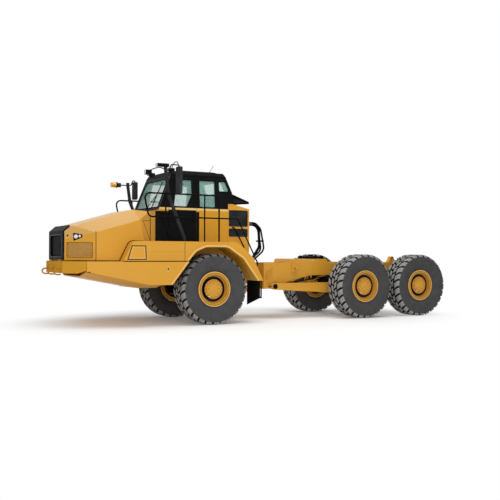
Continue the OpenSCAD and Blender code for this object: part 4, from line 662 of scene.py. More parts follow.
def makePiece(name, parts, body, slot, material=None, sharp=38.0, rise=None):
    # One mesh of all the parts, moved by the axle's X, its faces turned outwards, on its body and in its slot
    starts = np.cumsum([0] + [len(v) for v, _, _ in parts])
    quads, tris = (np.vstack([p[k] + start for p, start in zip(parts, starts)]) for k in (1, 2))
    mesh = bpy.data.meshes.new(name)
    verts = np.vstack([v for v, _, _ in parts]) + axleShift
    mesh.from_pydata(verts.tolist(), [], quads.tolist() + tris.tolist())
    work = bmesh.new()
    work.from_mesh(mesh)
    bmesh.ops.recalc_face_normals(work, faces=work.faces)
    work.to_mesh(mesh)
    work.free()
    mesh.shade_smooth()
    mesh.set_sharp_from_angle(angle=math.radians(sharp))
    if rise is not None:
        mesh.attributes.new("lugRise", "FLOAT", "POINT").data.foreach_set("value", rise.astype(np.float32))
    obj = addObject(name, mesh)
    dress(obj, material or finishes[slot])
    if body:
        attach(obj, body)
    return obj


def smoothstep(x, low, high):
    # 0 below low and 1 above high; between them three t squared less two t cubed
    t = np.clip((x - low) / (high - low), 0, 1)
    return t * t * (3 - 2 * t)


def bent(a, power):
    # A power that keeps the sign
    return np.sign(a) * np.abs(a) ** power


def denser(points, n):
    # Catmull-Rom through the points, n steps between neighbours
    points = np.asarray(points, float)
    p = np.vstack([2 * points[0] - points[1], points, 2 * points[-1] - points[-2]])
    t = (np.arange(n) / n)[None, :, None]
    a, b, c, d = (p[i:len(p) - 3 + i, None, :] for i in range(4))
    curve = 0.5 * (2 * b + (c - a) * t + (2 * a - 5 * b + 4 * c - d) * t ** 2 + (3 * b - a - 3 * c + d) * t ** 3)
    return np.vstack([curve.reshape(-1, points.shape[1]), points[-1:]])


# Tyres: the carcass section carried round the axle, with lugs raised along its normals
tyreShape = {
    "pitches": 26, "lugHeight": 0.036, "slant": 0.9,
    "edges": (0.0, 0.10, 0.15, 0.25, 0.35, 0.40, 0.5, 0.60, 0.65, 0.75, 0.85, 0.90),
    # half section from the bead to the crown: radius and distance from the middle
    "section": ((0.402, 0.214), (0.428, 0.232), (0.470, 0.262), (0.540, 0.291), (0.610, 0.300),
                (0.680, 0.297), (0.730, 0.288), (0.757, 0.268), (0.769, 0.235), (0.772, 0.190),
                (0.7725, 0.132), (0.7725, 0.112), (0.7725, 0.060), (0.7725, 0.018), (0.7725, 0.0)),
    "centreRow": (0.018, 0.108), "shoulderRow": 0.136, "shoulderFoot": (0.705, 0.735), "centreFoot": (0.75, 0.765),
    "blockEdge": (0.10, 0.15), "flare": 0.35, "halfWidth": 0.3, "middle": (0.60, 0.0),
}


def tyrePoints(t, centre, side):
    # Points and lug rise: radius and width from the section, turn from the pitch, lift inside the blocks
    half = denser(t["section"], 3)
    section = np.vstack([half, half[-2::-1] * (1, -1)])
    slope = np.gradient(section, axis=0)
    normal = unit(np.stack([-slope[:, 1], slope[:, 0]], 1))
    outward = np.sign(np.sum(normal * (section - t["middle"]), axis=1, keepdims=True))
    normal *= np.where(outward == 0, 1, outward)
    r, y = section[:, :1], section[:, 1:]
    pitch = (np.arange(t["pitches"])[:, None] + np.array(t["edges"])).reshape(1, -1)
    away = np.abs(pitch % 1.0 - 0.5)
    ay = np.abs(y)
    row = t["shoulderRow"]
    shoulder = smoothstep(0.5 - away, *t["blockEdge"]) * smoothstep(ay, row - 0.008, row) * \
        smoothstep(r, *t["shoulderFoot"])
    low, high = t["centreRow"]
    centreRow = smoothstep(away, *t["blockEdge"]) * smoothstep(ay, low - 0.008, low) * \
        (1 - smoothstep(ay, high, high + 0.010)) * smoothstep(r, *t["centreFoot"])
    rise = np.maximum(shoulder, centreRow)
    lift = t["lugHeight"] * rise
    turn = (pitch + 0.5 * (y < 0) + t["slant"] * ay / t["halfWidth"]) * 2 * math.pi / t["pitches"]
    radius = r + normal[:, :1] * lift
    across = y + normal[:, 1:] * lift * t["flare"]
    return np.stack([centre[0] + radius * np.cos(turn), centre[1] + side * across + 0 * turn,
                     centre[2] + radius * np.sin(turn)], -1), rise


for w in wheelNames:
    points, rise = tyrePoints(tyreShape, wheelPlace[w], wheelSide[w])
    tyre = makePiece("tyreTread_" + w, [gridPart(points, wrapU=True, wrapV=True)], "wheel_" + w, "tyre_rubber",
                     nodeFinishes["tyre_" + w], sharp=50.0, rise=rise.reshape(-1))
    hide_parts("tyre_" + w)
print("tyres made")


# Wheel faces: bolt circles, a raised cap plate, the lock key and a plated filler plug
wheelFace = {
    "hub": 0.188, "ring": 0.165, "cap": 0.205,  # faces, out from the wheel's middle
    "bolts": {"hub": (0.2035, 18, 0.0125, 0.018), "ring": (0.322, 24, 0.0095, 0.013), "cap": (0.140, 8, 0.0095, 0.011)},
    "plate": ((0.112, -0.002), (0.112, 0.006), (0.106, 0.011), (0.060, 0.012), (0.052, 0.020), (0.040, 0.022),
              (0.012, 0.023)),
    "key": ((-0.036, -0.318), (0.036, -0.318), (0.016, -0.350), (-0.016, -0.350)),
    "plug": ((0.019, -0.002), (0.019, 0.012), (0.015, 0.022), (0.006, 0.027), (0.001, 0.028)), "plugTurn": -0.95,
}
fastenerPaint = paintFinish("fastenerPaint", colour="yellowLoop")


def makeWheelFace(f, w):
    # Bolts on circles and a turned plate, each on its face out from the middle; a four-sided key; a turned plug
    centre, side, body = wheelPlace[w], wheelSide[w], "wheel_" + w
    out = np.array((0.0, side, 0.0))
    bolts = [boltRow(size, height, out, ringOffsets(centre + out * f[face], out, radius, count))
             for face, (radius, count, size, height) in f["bolts"].items()]
    key = slabPart(f["key"], centre + out * (f["ring"] - 0.004), (-side, 0, 0), (0, 0, 1), 0.05, 0.004)
    radius, turn = f["bolts"]["hub"][0], f["plugTurn"]
    spot = centre + (radius * math.cos(turn), side * f["hub"], radius * math.sin(turn))
    makePiece("rimFasteners_" + w, bolts, body, "yellow_paint", fastenerPaint)
    makePiece("rimPlates_" + w, [lathePart(f["plate"], centre + out * f["cap"], out, 36), key], body, "yellow_paint")
    makePiece("hubPlug_" + w, [lathePart(f["plug"], spot, out, 14)], body, "rod_steel")


for w in wheelNames:
    makeWheelFace(wheelFace, w)
print("wheel faces made")


# Nose: lamp glasses in their recess, the plug ahead of them, the meshes' screws, the grille's lip in grey as a painted
# highlight on the mouth's inner edge, and its dark screen
noseFacet = {
    "corner": (3.24, 0.64, 1.445), "run": (-0.767, 0.6416, 0.0), "out": (0.6416, 0.767, 0.0),
    "length": 0.717, "height": 0.645, "lenses": ((0.365, 0.82, 0.041), (0.49, 0.835, 0.026)),
    "dome": ((1, 0), (0.96, 0.006), (0.75, 0.012), (0.4, 0.015), (0.05, 0.016)),  # share of the radius, and height
    "rim": ((1.02, -0.006), (1.12, 0.002), (1.06, 0.008), (0.97, 0.007)), "plug": (0.098, 0.852),
    "dot": ((0.020, -0.004), (0.020, 0.004), (0.015, 0.007), (0.009, 0.004), (0.001, 0.004)),
    "screws": ((0.10, 0.165), (0.87, 0.165), (0.87, 0.585), (0.10, 0.585)),
    "mesh": ((0.074, 0.125), (0.894, 0.125), (0.894, 0.625), (0.074, 0.625)),
    "mouth": {"half": 0.499, "low": 1.532, "high": 2.018, "round": 0.11, "face": 3.268},
}


def onFacet(f, share, rise, out):
    # A point on the slanted facet: its corner, a share of its run, a share of its height, and a step outwards
    return np.array(f["corner"]) + np.array(f["run"]) * f["length"] * share + \
        np.array((0, 0, f["height"] * rise)) + np.array(f["out"]) * out


def makeNose(f):
    # Domes and rims turned about the facet's normal, beads round the mesh and the mouth, a slab behind the bars
    out, m, glasses, rims = f["out"], f["mouth"], [], []
    for share, rise, radius in f["lenses"]:
        for parts, profile in ((glasses, f["dome"]), (rims, f["rim"])):
            parts.append(lathePart(np.array(profile) * (radius, 1), onFacet(f, share, rise, -0.005), out, 28))
    dot = lathePart(f["dot"], onFacet(f, *f["plug"], 0.0), out, 20)
    screws = boltRow(0.009, 0.008, out, [onFacet(f, s, r, -0.014) for s, r in f["screws"]])
    edge = np.array([onFacet(f, u, v, 0.0) for u, v in f["mesh"]])
    border = beadPart(evened(np.vstack([edge, edge[:1]]), 81)[:-1], out, 0.010, 0.003)
    loop = rectPath(-m["half"], m["low"], m["half"], m["high"], m["round"], 10)
    lip = beadPart(lifted(loop, 0, m["face"]), (1, 0, 0), 0.016, 0.008)
    back = slabPart(loop * 0.996 + (0, 0.007), (m["face"] - 0.042, 0, 0), (0, 1, 0), (0, 0, 1), 0.006, 0.001)
    makePiece("grilleScreen", [back], "tilting_hood", "black_plastic")
    makePiece("meshBorders", bothSides([border]), "tilting_hood", "black_paint")
    makePiece("grilleHighlightLip", [lip], "tilting_hood", "engine_metal")
    makePiece("headlampGlass", bothSides(glasses), "tilting_hood", "tinted_glass", clearLens)
    makePiece("headlampRims", bothSides(rims), "tilting_hood", "rod_steel")
    makePiece("nosePlugs", bothSides([dot]), "tilting_hood", "black_rubber")
    makePiece("meshScrews", bothSides([screws]), "tilting_hood", "black_paint")


makeNose(noseFacet)
print("nose lamps made")


# Tow loops: a flat bar bent into a U, with its ends in the bumper
towLoop = {"rows": (-0.54, 0.0, 0.54), "bumper": 3.296, "middle": 3.375, "height": 1.210, "bend": 0.0585,
           "bar": (0.0165, 0.025)}


def makeTowLoops(t):
    # A half circle about the middle with straight arms back to the bumper, and an oval bar carried along it
    turn = np.linspace(math.pi / 2, -math.pi / 2, 15)
    x, z, bend = t["middle"], t["height"], t["bend"]
    nose = np.stack([x + bend * np.cos(turn), z + bend * np.sin(turn)], 1)
    line = np.vstack([(t["bumper"], z + bend), nose, (t["bumper"], z - bend)])
    bar = tubePart(lifted(line, 1, 0), t["bar"], 14)
    loops = makePiece("towLoops", [repeated(bar, [(0, y, 0) for y in t["rows"]])], "tractor", "yellow_paint",
                      paintFinish("loopPaint", colour="yellowLoop", gloss=0.0, ior=1.12))
    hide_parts("tow_eyes")


makeTowLoops(towLoop)
print("tow loops made")


# Cab: gaskets round the panes, wiper, door handle
cabShape = {
    "rear": -0.60, "length": 1.85, "sill": 2.62, "glassHeight": 0.72, "half": 0.85, "lean": 0.06, "leanTop": 3.44,
    "corner": 0.04, "bead": (0.024, 0.010), "screenLow": (1.15, 2.62), "screenTop": (0.83, 3.44),
    "door": ((0.57, 0.1), (0.755, 0.1), (0.73, 0.5), (0.69, 0.98), (0.5, 0.98), (0.5, 0.5)),
    "side": ((0.178, 0.1), (0.4, 0.1), (0.4, 0.98), (0.178, 0.98)),
    "quarter": ((-0.03, 0.64), (0.125, 0.64), (0.125, 0.98), (0.035, 0.98)),
    "screen": ((-0.84, 0.08), (0.84, 0.08), (0.8, 1.0), (-0.8, 1.0)),
    "wiperArm": ((0.10, 0.12, 0.30, 0.40), (-0.02, 0.04, 0.26, 0.40), (0.006, 0.03, 0.034, 0.026)),
    "wiperBoss": ((0.028, -0.01), (0.028, 0.018), (0.020, 0.028), (0.002, 0.030)), "wiperFoot": (0.10, -0.02),
    "blade": {"span": (0.07, 0.80), "foot": 0.34, "slant": 0.11},
    "grip": ((0.285, 0.848, 2.38), (0.285, 0.905, 2.38), (0.285, 0.905, 2.55), (0.285, 0.848, 2.55)),
    "lock": ((0.020, -0.004), (0.020, 0.010), (0.014, 0.014), (0.002, 0.014)), "lockPlace": (0.285, 0.85, 2.33),
}


def sideBead(c, shares):
    # Bead on a side pane's outline, on the wall that leans in with height
    flat = np.array(shares) * (c["length"], c["glassHeight"]) + (c["rear"], c["sill"])
    loop = roundedPath(flat, c["corner"], 5, True)
    y = c["half"] - c["lean"] * (loop[:, 1] - c["sill"]) / (c["leanTop"] - c["sill"])
    return beadPart(lifted(loop, 1, y), (0, c["leanTop"] - c["sill"], c["lean"]), *c["bead"])


def onScreen(c, y, share, out):
    # A point on the windscreen: along its slope by a share, and off it along its normal
    (x0, z0), (x1, z1) = c["screenLow"], c["screenTop"]
    y, share, out = np.broadcast_arrays(*(np.asarray(v, float) for v in (y, share, out)))
    slope = unit((z1 - z0, 0, x0 - x1))
    return np.stack([x0 + (x1 - x0) * share, y, z0 + (z1 - z0) * share], -1) + out[..., None] * slope


def makeCabTrim(c):
    # Beads on the panes' outlines; bars carried up the screen, the blade's standing off it by a sine of its share
    normal = (0.82, 0, 0.32)  # the windscreen's
    door = sideBead(c, c["door"])
    fixed = bothSides([sideBead(c, c["side"]), sideBead(c, c["quarter"])]) + bothSides([door])[1:]
    loop = roundedPath(np.array(c["screen"]) * (c["half"], c["glassHeight"]) + (0, c["sill"]), c["corner"], 5, True)
    face = onScreen(c, loop[:, 0], (loop[:, 1] - c["sill"]) / (c["leanTop"] - c["sill"]), 0.0)
    fixed.append(beadPart(face, normal, *c["bead"]))
    makePiece("paneGaskets", fixed, "tractor", "black_rubber")
    makePiece("doorGasket", [door], "door", "black_rubber")
    arm = onScreen(c, *c["wiperArm"])
    share = np.linspace(*c["blade"]["span"], 14)
    side = c["blade"]["foot"] + c["blade"]["slant"] * share
    blade = onScreen(c, side, share, 0.016 - 0.004 * np.sin(share * 12))
    rubber = onScreen(c, side, share, 0.006)
    boss = lathePart(c["wiperBoss"], onScreen(c, *c["wiperFoot"], 0.0), normal, 16)
    bars = ((denser(arm, 5), 0.008), (blade, (0.009, 0.005)), (rubber, (0.003, 0.009)))
    makePiece("screenWiper", [tubePart(p, r, 8, normal) for p, r in bars] + [boss], "tractor", "black_plastic")
    handle = [tubePart(roundedPath(c["grip"], 0.03), 0.012, 10, (1, 0, 0)),
              lathePart(c["lock"], c["lockPlace"], (0, 1, 0), 16)]
    makePiece("doorHandle", handle, "door", "black_plastic")


makeCabTrim(cabShape)
print("cab trim made")


# Seat: crowned cushions with sewn channels and piping, on a bellows
seatShape = {
    "cushion": {"centre": (0.06, 0, 2.372), "half": (0.250, 0.255, 0.066), "tilt": 3.0, "crown": 0.016},
    "back": {"centre": (-0.235, 0, 2.690), "half": (0.285, 0.235, 0.058), "tilt": 83.0, "crown": 0.018},
    "head": {"centre": (-0.262, 0, 3.015), "half": (0.070, 0.130, 0.042), "tilt": 84.0, "crown": 0.012},
    "channels": (-0.115, 0.115), "channelDepth": 0.010, "channelWidth": 0.014,
    "shoulder": 0.40, "outline": 0.42, "flatTop": 0.75, "draw": 0.035,  # powers, and how far the sides are drawn in
    "bellows": {"x": 0.06, "low": 1.955, "high": 2.312, "half": (0.19, 0.20), "round": 0.07, "folds": 7, "fold": 0.018},
    "armRest": (((-0.20, 0.285, 2.53), (0.14, 0.345, 2.57), 0.014), ((-0.22, 0.262, 2.42), (-0.17, 0.30, 2.56), 0.010)),
}


def leaned(c, x, y, z):
    # Points tilted about Y by the cushion's angle, and turned to face forward where it stands up
    lean = math.radians(c["tilt"])
    up = (z * math.cos(lean) - x * math.sin(lean)) * (-1 if c["tilt"] > 45 else 1)
    return np.stack(np.broadcast_arrays(x * math.cos(lean) + z * math.sin(lean), y, up), -1)


def cushionPart(s, c):
    # Superellipsoid with square shoulders: crowned on top, sides drawn in between corners, channels sunk
    u = fullTurn(64)[None, :]
    v = np.linspace(-0.5 * math.pi, 0.5 * math.pi, 26)[1:-1, None]
    flatX, flatY = (bent(np.cos(v), s["shoulder"]) * bent(way(u), s["outline"]) for way in (np.cos, np.sin))
    tall = bent(np.sin(v), s["flatTop"]) + 0 * u
    draw = 1 - s["draw"] * np.cos(2 * u) ** 2 * np.cos(v)
    hx, hy, hz = c["half"]
    x, y, z = hx * flatX * draw, hy * flatY * draw, hz * tall
    top = np.clip(tall, 0, 1)
    z = z + c["crown"] * top * (1 - flatX ** 2) * (1 - flatY ** 2)
    for line in s["channels"]:
        z = z - top * s["channelDepth"] * np.exp(-((y - line) / s["channelWidth"]) ** 2)
    return capped(leaned(c, x, y, z) + np.array(c["centre"]))


def pipingPart(s, c):
    # Round cord along the cushion's widest line
    u = fullTurn(72)
    draw = 1 - s["draw"] * np.cos(2 * u) ** 2
    x, y = (half * bent(way(u), s["outline"]) * draw for half, way in zip(c["half"], (np.cos, np.sin)))
    return beadPart(leaned(c, x, y, 0 * u) + np.array(c["centre"]), leaned(c, 0.0, 0.0, 1.0), 0.012, 0.006)


def makeSeat(s):
    # Bellows: a rounded rectangle carried upwards, its size a falling line plus a cosine with a wave to each fold
    for name in ("cushion", "back", "head"):
        pad = makePiece("seat" + name.capitalize(), [cushionPart(s, s[name]), pipingPart(s, s[name])], "tractor",
                        "seat_fabric", sharp=70.0)
        soft = pad.modifiers.new("softer", "SUBSURF")
        soft.levels = soft.render_levels = 1
    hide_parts("operator_seat")
    b = s["bellows"]
    halfX, halfY = b["half"]
    outline = rectPath(-halfX, -halfY, halfX, halfY, b["round"], 8)
    t = np.linspace(0, 1, 6 * b["folds"] + 1)
    swell = (1 - 0.10 * t + b["fold"] / halfX * np.cos(t * b["folds"] * 2 * math.pi))[:, None]
    height = (b["low"] + (b["high"] - b["low"]) * t)[:, None]
    rings = np.broadcast_arrays(outline[:, 0] * swell + b["x"], outline[:, 1] * swell, height)
    makePiece("seatBellows", [capped(np.stack(rings, -1))], "tractor", "black_rubber")
    makePiece("armRests", bothSides([boxPart(*box) for box in s["armRest"]]), "tractor", "black_plastic")


makeSeat(seatShape)
print("seat made")


# Lamps and mirrors: lenses with rims, mirror glasses, a lamp on an arm, the stay rod, the aerial, the beacon
lampShape = {
    "lenses": (((1.372, 1.212, 3.541), (1.372, 1.328, 3.599)), ((0.850, 0.562, 3.526), (0.850, 0.678, 3.584)),
               ((0.850, -0.678, 3.526), (0.850, -0.562, 3.584)), ((1.640, 1.222, 3.352), (1.640, 1.318, 3.438))),
    "mirrors": ((0.805, 1.174, 3.19, 1.366, 3.535), (0.805, 1.174, 2.99, 1.366, 3.165),
                (0.925, -1.366, 2.995, -1.174, 3.385)),
    "armLamp": ((1.505, 1.212, 3.342), (1.640, 1.328, 3.448)),
    "arm": ((1.160, 1.27, 3.470), (1.30, 1.27, 3.515), (1.42, 1.27, 3.490), (1.53, 1.27, 3.440)),
    "stay": ((1.130, 1.27, 3.480), (1.040, 1.27, 3.478), (0.990, 1.27, 3.585), (0.940, 1.27, 3.655),
             (0.880, 1.27, 3.650), (0.845, 1.27, 3.545)),
    "aerial": ((-0.20, 0.66, 3.518), (-0.215, 0.66, 3.56), (-0.30, 0.66, 3.700)),
    "aerialFoot": ((0.030, -0.002), (0.030, 0.010), (0.018, 0.022), (0.008, 0.036)),
    "headBox": ((1.250, 1.206, 3.536), (1.372, 1.334, 3.606)), "beacon": (1.447, -1.27, 3.319, 0.066),
    "collar": ((0.8, -0.030), (1.06, -0.022), (1.06, 0.012), (0.98, 0.016)),  # share of the beacon's radius, and height
    "dome": ((0.97, 0.130), (0.93, 0.137), (0.6, 0.143), (0.05, 0.145)),
}


def makeLamps(s):
    # Slabs and beads on rounded rectangles that face X, bars along smooth curves, collar and dome turned about X
    glasses, faces, fittings = [], [], []
    for (x, y0, z0), (_, y1, z1) in s["lenses"]:
        outline = rectPath(y0, z0, y1, z1, 0.014, 4)
        glasses.append(slabPart(outline, (x, 0, 0), (0, 1, 0), (0, 0, 1), 0.007, 0.003))
        fittings.append(beadPart(lifted(outline, 0, x), (1, 0, 0), 0.012, 0.009))
    for x, y0, z0, y1, z1 in s["mirrors"]:
        outline = rectPath(-y0, z0, -y1, z1, 0.03, 5)
        faces.append(slabPart(outline, (x, 0, 0), (0, -1, 0), (0, 0, 1), 0.004, 0.0015))
        fittings.append(beadPart(lifted(outline * (-1, 1), 0, x), (-1, 0, 0), 0.014, 0.008))
    place, radius = s["beacon"][:3], s["beacon"][3]
    collar, dome = (np.array(s[k]) * (radius, 1) for k in ("collar", "dome"))
    fittings += [
        boxPart(*s["headBox"], 0.012), tubePart(denser(s["arm"], 6), 0.011, 8), boxPart(*s["armLamp"], 0.012),
        tubePart(denser(s["stay"], 6), 0.009, 8), tubePart(denser(s["aerial"], 4), 0.0055, 8),
        lathePart(s["aerialFoot"], s["aerial"][0], (0, 0, 1), 18), lathePart(collar, place, (1, 0, 0), 28)]
    makePiece("lampLenses", glasses, "tractor", "tinted_glass", clearLens)
    makePiece("mirrorGlasses", faces, "tractor", "rod_steel")
    makePiece("lampFittings", fittings, "tractor", "black_plastic")
    makePiece("beaconDome", [lathePart(dome, place, (1, 0, 0), 32)], "tractor", "amber_plastic")


makeLamps(lampShape)
print("lamps and mirrors made")


# Roof cover: a low crowned lid with square shoulders, flat below
roofShape = {"centre": (0.09, 0.0, 3.516), "half": (0.56, 0.66), "rise": 0.055}


def makeRoofCover(r):
    # Superellipse outline drawn in over a quarter turn, height by the sine
    u = fullTurn(72)[None, :]
    v = np.linspace(0, 0.5 * math.pi, 9)[:-1, None]
    shrink = np.cos(v) ** 0.35
    x, y = (half * shrink * bent(way(u), 0.22) for half, way in zip(r["half"], (np.cos, np.sin)))
    points = np.stack([x, y, r["rise"] * np.sin(v) + 0 * u], -1) + np.array(r["centre"])
    makePiece("roofCover", [capped(points)], "tractor", "black_plastic", sharp=60.0)


makeRoofCover(roofShape)
print("roof cover made")


# Fender lip: a rolled bead along the skirt's slant and the arch, painted paler than the body as a painted highlight on
# top of the light that the bead catches
archLip = {"line": ((0.675, 1.452), (0.494, 1.663), (0.243, 1.768), (-0.305, 1.768), (-0.703, 1.508)),
           "end": -1.094, "skirtTop": (0.678, 1.436), "skirtFoot": 1.075, "bend": 0.23, "bar": (0.022, 0.011),
           "face": 1.448, "skirtFace": 1.438, "inset": 0.018}


def makeArchLip(a):
    # The arch's rounded line, moved out from the axle by the inset, and the skirt's slant; oval bars along both
    fenderLow = float(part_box("fenders")[0].z) + 0.004
    skirtLow = float(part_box("side_skirts")[0].z) + 0.010
    arch = roundedPath(list(a["line"]) + [(a["end"], fenderLow)], a["bend"], 10)
    arch = arch + a["inset"] * unit(arch - (0, axleZ))
    slant = [(a["skirtFoot"], skirtLow), a["skirtTop"]]
    parts = [tubePart(lifted(evened(line, count), 1, face), a["bar"], 12)
             for line, count, face in ((arch, 70, a["face"]), (slant, 8, a["skirtFace"]))]
    makePiece("archLips", bothSides(parts), "tractor", "yellow_paint", paintFinish("lipHighlightPaint", colour="yellowEdgeHighlight"))


makeArchLip(archLip)
print("arch lips made")


# Seals: black rubber in the seam at the waist, up the wing's front edge and along the hood's foot
sealShape = {"flank": ((2.93, 1.23), (1.57, 1.44), (0.70, 1.44)), "waist": 1.445, "bar": (0.010, 0.005),
             "wing": ((2.166, 1.452), (1.947, 1.889), (1.62, 1.889)), "round": 0.13, "hoodSide": 1.107,
             "foot": ((3.236, 0.648), (2.690, 1.108), (2.170, 1.108)), "roundBar": 0.010}


def makeSeals(s):
    # The waist's width is read off the flank at even steps of length; bars along that line, the wing's and the foot's
    x, y = np.array(s["flank"])[::-1].T
    line = np.linspace(2.15, 0.70, 30)
    waist = np.stack([line, np.interp(line, x, y)], 1)
    wing = evened(roundedPath(s["wing"], s["round"], 8), 30)
    parts = [tubePart(lifted(waist, 2, s["waist"]), s["bar"], 8),
             tubePart(lifted(wing, 1, s["hoodSide"]), s["roundBar"], 8),
             tubePart(lifted(evened(s["foot"], 30), 2, s["waist"] + 0.006), s["roundBar"], 8, (0, 0, 1))]
    makePiece("bodySeals", bothSides(parts), "tractor", "black_rubber")


makeSeals(sealShape)
print("seals made")


# Hoses from the housing to the hitch, with crimped ends and a clamp at the waist
hoseShape = {"rows": (-1.5, -0.5, 0.5, 1.5), "pitch": 0.052, "radius": 0.022, "bend": 0.19, "top": 2.43,
             "start": -1.174, "back": -1.90, "waist": ((-1.93, 1.80), (-2.03, 1.72)), "end": (-1.655, 1.411),
             "crimp": ((0.020, -0.002), (0.034, 0.0), (0.034, 0.016), (0.0275, 0.018), (0.0275, 0.075),
                       (0.0235, 0.080)),
             "clamp": ((-2.005, -0.112, 1.925), (-1.885, 0.112, 1.965))}


def makeHoses(h):
    # Rounded lines side by side, the outer ones lower; a round bar along each, and a crimp turned at both ends
    front, rear = [], []
    for index, row in enumerate(h["rows"]):
        y, z = row * h["pitch"], h["top"] - abs(row) * h["pitch"]
        corners = [(h["start"], z), (h["back"], z), h["waist"][abs(row) > 1], h["end"]]
        path = lifted(evened(roundedPath(corners, h["bend"], 16), 60), 1, y)
        hose = makePiece("hitchHose_%d" % (index + 1), [tubePart(path, h["radius"], 14)], None, "black_rubber")
        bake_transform(hose)
        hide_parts("hoses")
        front.append(lathePart(h["crimp"], path[0], (-1, 0, 0), 16))
        rear.append(lathePart(h["crimp"], path[-1] - (0, 0, 0.006), path[-2] - path[-1], 16))
    makePiece("hoseEndsFront", front, "tractor", "rod_steel")
    makePiece("hoseEndsHitch", rear, "hitch", "rod_steel")
    clamp = makePiece("hoseClamp", [boxPart(*h["clamp"], 0.012)], None, "black_plastic")
    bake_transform(clamp)


makeHoses(hoseShape)
print("hoses made")


# Rear frame: pipes under the beams on straps, slanted rods, pin caps, tail lamps, hoist pins and the hitch's cap
frameTrim = {
    "pipes": (0.494, 0.522, 0.550), "pipeLine": ((-1.93, 0.800), (-2.40, 0.872), (-3.24, 0.990), (-3.86, 1.075)),
    "strapBox": ((-0.022, 0.455, -0.024), (0.022, 0.572, 0.024)),
    "hangerBox": ((-0.018, 0.452, -0.02), (0.018, 0.468, 0.21)),
    "pipeRadius": 0.013, "straps": (-2.15, -2.70, -3.20), "rod": ((-3.20, 0.405, 0.92), (-3.80, 0.405, 1.12)),
    "rodEye": ((0.018, -0.040), (0.050, -0.038), (0.050, 0.038), (0.018, 0.040)),
    "pins": ((-2.02, 0.660, 0.810, 0.062), (-5.15, 0.700, 1.035, 0.075)),
    "pinCap": ((1, -0.004), (1, 0.014), (0.86, 0.022), (0.35, 0.024), (0.02, 0.020)),  # share of the radius, and height
    "tailLamp": (0.350, 1.215, 0.452, 1.375), "tail": -6.398, "hoistRows": (-3.38, -3.60), "hoistSide": 0.34,
    "hoistPin": ((0.012, -0.385), (0.042, -0.382), (0.042, -0.30), (0.030, -0.295), (0.030, 0.295), (0.042, 0.30),
                 (0.042, 0.382), (0.012, 0.385)), "stubs": (-0.09, -0.03, 0.03, 0.09), "stubX": -3.49,
    "pinBlock": ((-0.05, -0.03, -0.003), (0.05, 0.03, 0.03)),
    "valveBlock": ((-3.55, -0.13, -0.003), (-3.43, 0.13, 0.075)),
    "hitch": (-1.45, 0, 1.405), "hitchBolts": (-1.45, 0, 1.430),
    "hitchCap": ((0.120, -0.002), (0.120, 0.016), (0.105, 0.024), (0.030, 0.026), (0.020, 0.034), (0.002, 0.036)),
}


def makePipes(f):
    # Pipes side by side on one rounded line; straps and hangers at the height that the line has there
    line = evened(roundedPath(f["pipeLine"], 0.25, 8), 40)
    pipes = [tubePart(lifted(line, 1, y), f["pipeRadius"], 8) for y in f["pipes"]]
    hangers = []
    for x in f["straps"]:
        z = float(np.interp(-x, -line[:, 0], line[:, 1]))
        pipes.append(boxPart(*np.array(f["strapBox"]) + (x, 0, z), 0.006))
        hangers.append(boxPart(*np.array(f["hangerBox"]) + (x, 0, z), 0.004))
    makePiece("pipeHangers", bothSides(hangers), "rear_chassis", "yellow_paint")
    makePiece("framePipes", bothSides(pipes), "rear_chassis", "black_rubber")


def makeFrameTrim(f):
    # Rods between two points, profiles turned about Y or Z, bolts on circles, blocks set on the saddle's top
    across, up = (0, 1, 0), (0, 0, 1)
    a, b = (np.array(p) for p in f["rod"])
    rods = [tubePart(a + (b - a) * np.linspace(0, 1, 5)[:, None], 0.028, 14)]
    rods += [lathePart(f["rodEye"], p, across, 20) for p in (a, b)]
    makePiece("slantRods", bothSides(rods), "rear_chassis", "yellow_paint")
    caps = []
    for x, y, z, r in f["pins"]:
        caps.append(lathePart(np.array(f["pinCap"]) * (r, 1), (x, y, z), across, 28))
        caps.append(boltRow(r * 0.13, 0.010, across, ringOffsets((x, y + 0.023, z), across, r * 0.6, 6)))
    makePiece("pinCaps", bothSides(caps), "rear_chassis", "black_paint")
    y0, z0, y1, z1 = f["tailLamp"]
    lamp = slabPart(rectPath(-y0, z0, -y1, z1, 0.02, 5), (f["tail"], 0, 0), (0, -1, 0), up, 0.022, 0.006)
    makePiece("tailLamps", bothSides([lamp]), "rear_chassis", "amber_plastic", redLens)
    top, side = float(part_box("hoist_saddle")[1].z), f["hoistSide"]
    hoist = [lathePart(f["hoistPin"], (x, 0, top + 0.036), across, 20) for x in f["hoistRows"]]
    hoist += [boxPart(*np.array(f["pinBlock"]) + (x, y, top), 0.008) for x in f["hoistRows"] for y in (-side, side)]
    hoist += [boxPart(*np.array(f["valveBlock"]) + (0, 0, top), 0.012),
              boltRow(0.020, 0.035, up, [(f["stubX"], y, top + 0.07) for y in f["stubs"]])]
    makePiece("hoistPins", hoist, "rear_chassis", "black_paint")
    bolts = boltRow(0.011, 0.012, up, ringOffsets(f["hitchBolts"], up, 0.08, 8))
    makePiece("hitchCap", [lathePart(f["hitchCap"], f["hitch"], up, 36), bolts], "hitch", "yellow_paint")


makePipes(frameTrim)
makeFrameTrim(frameTrim)
print("rear frame trim made")


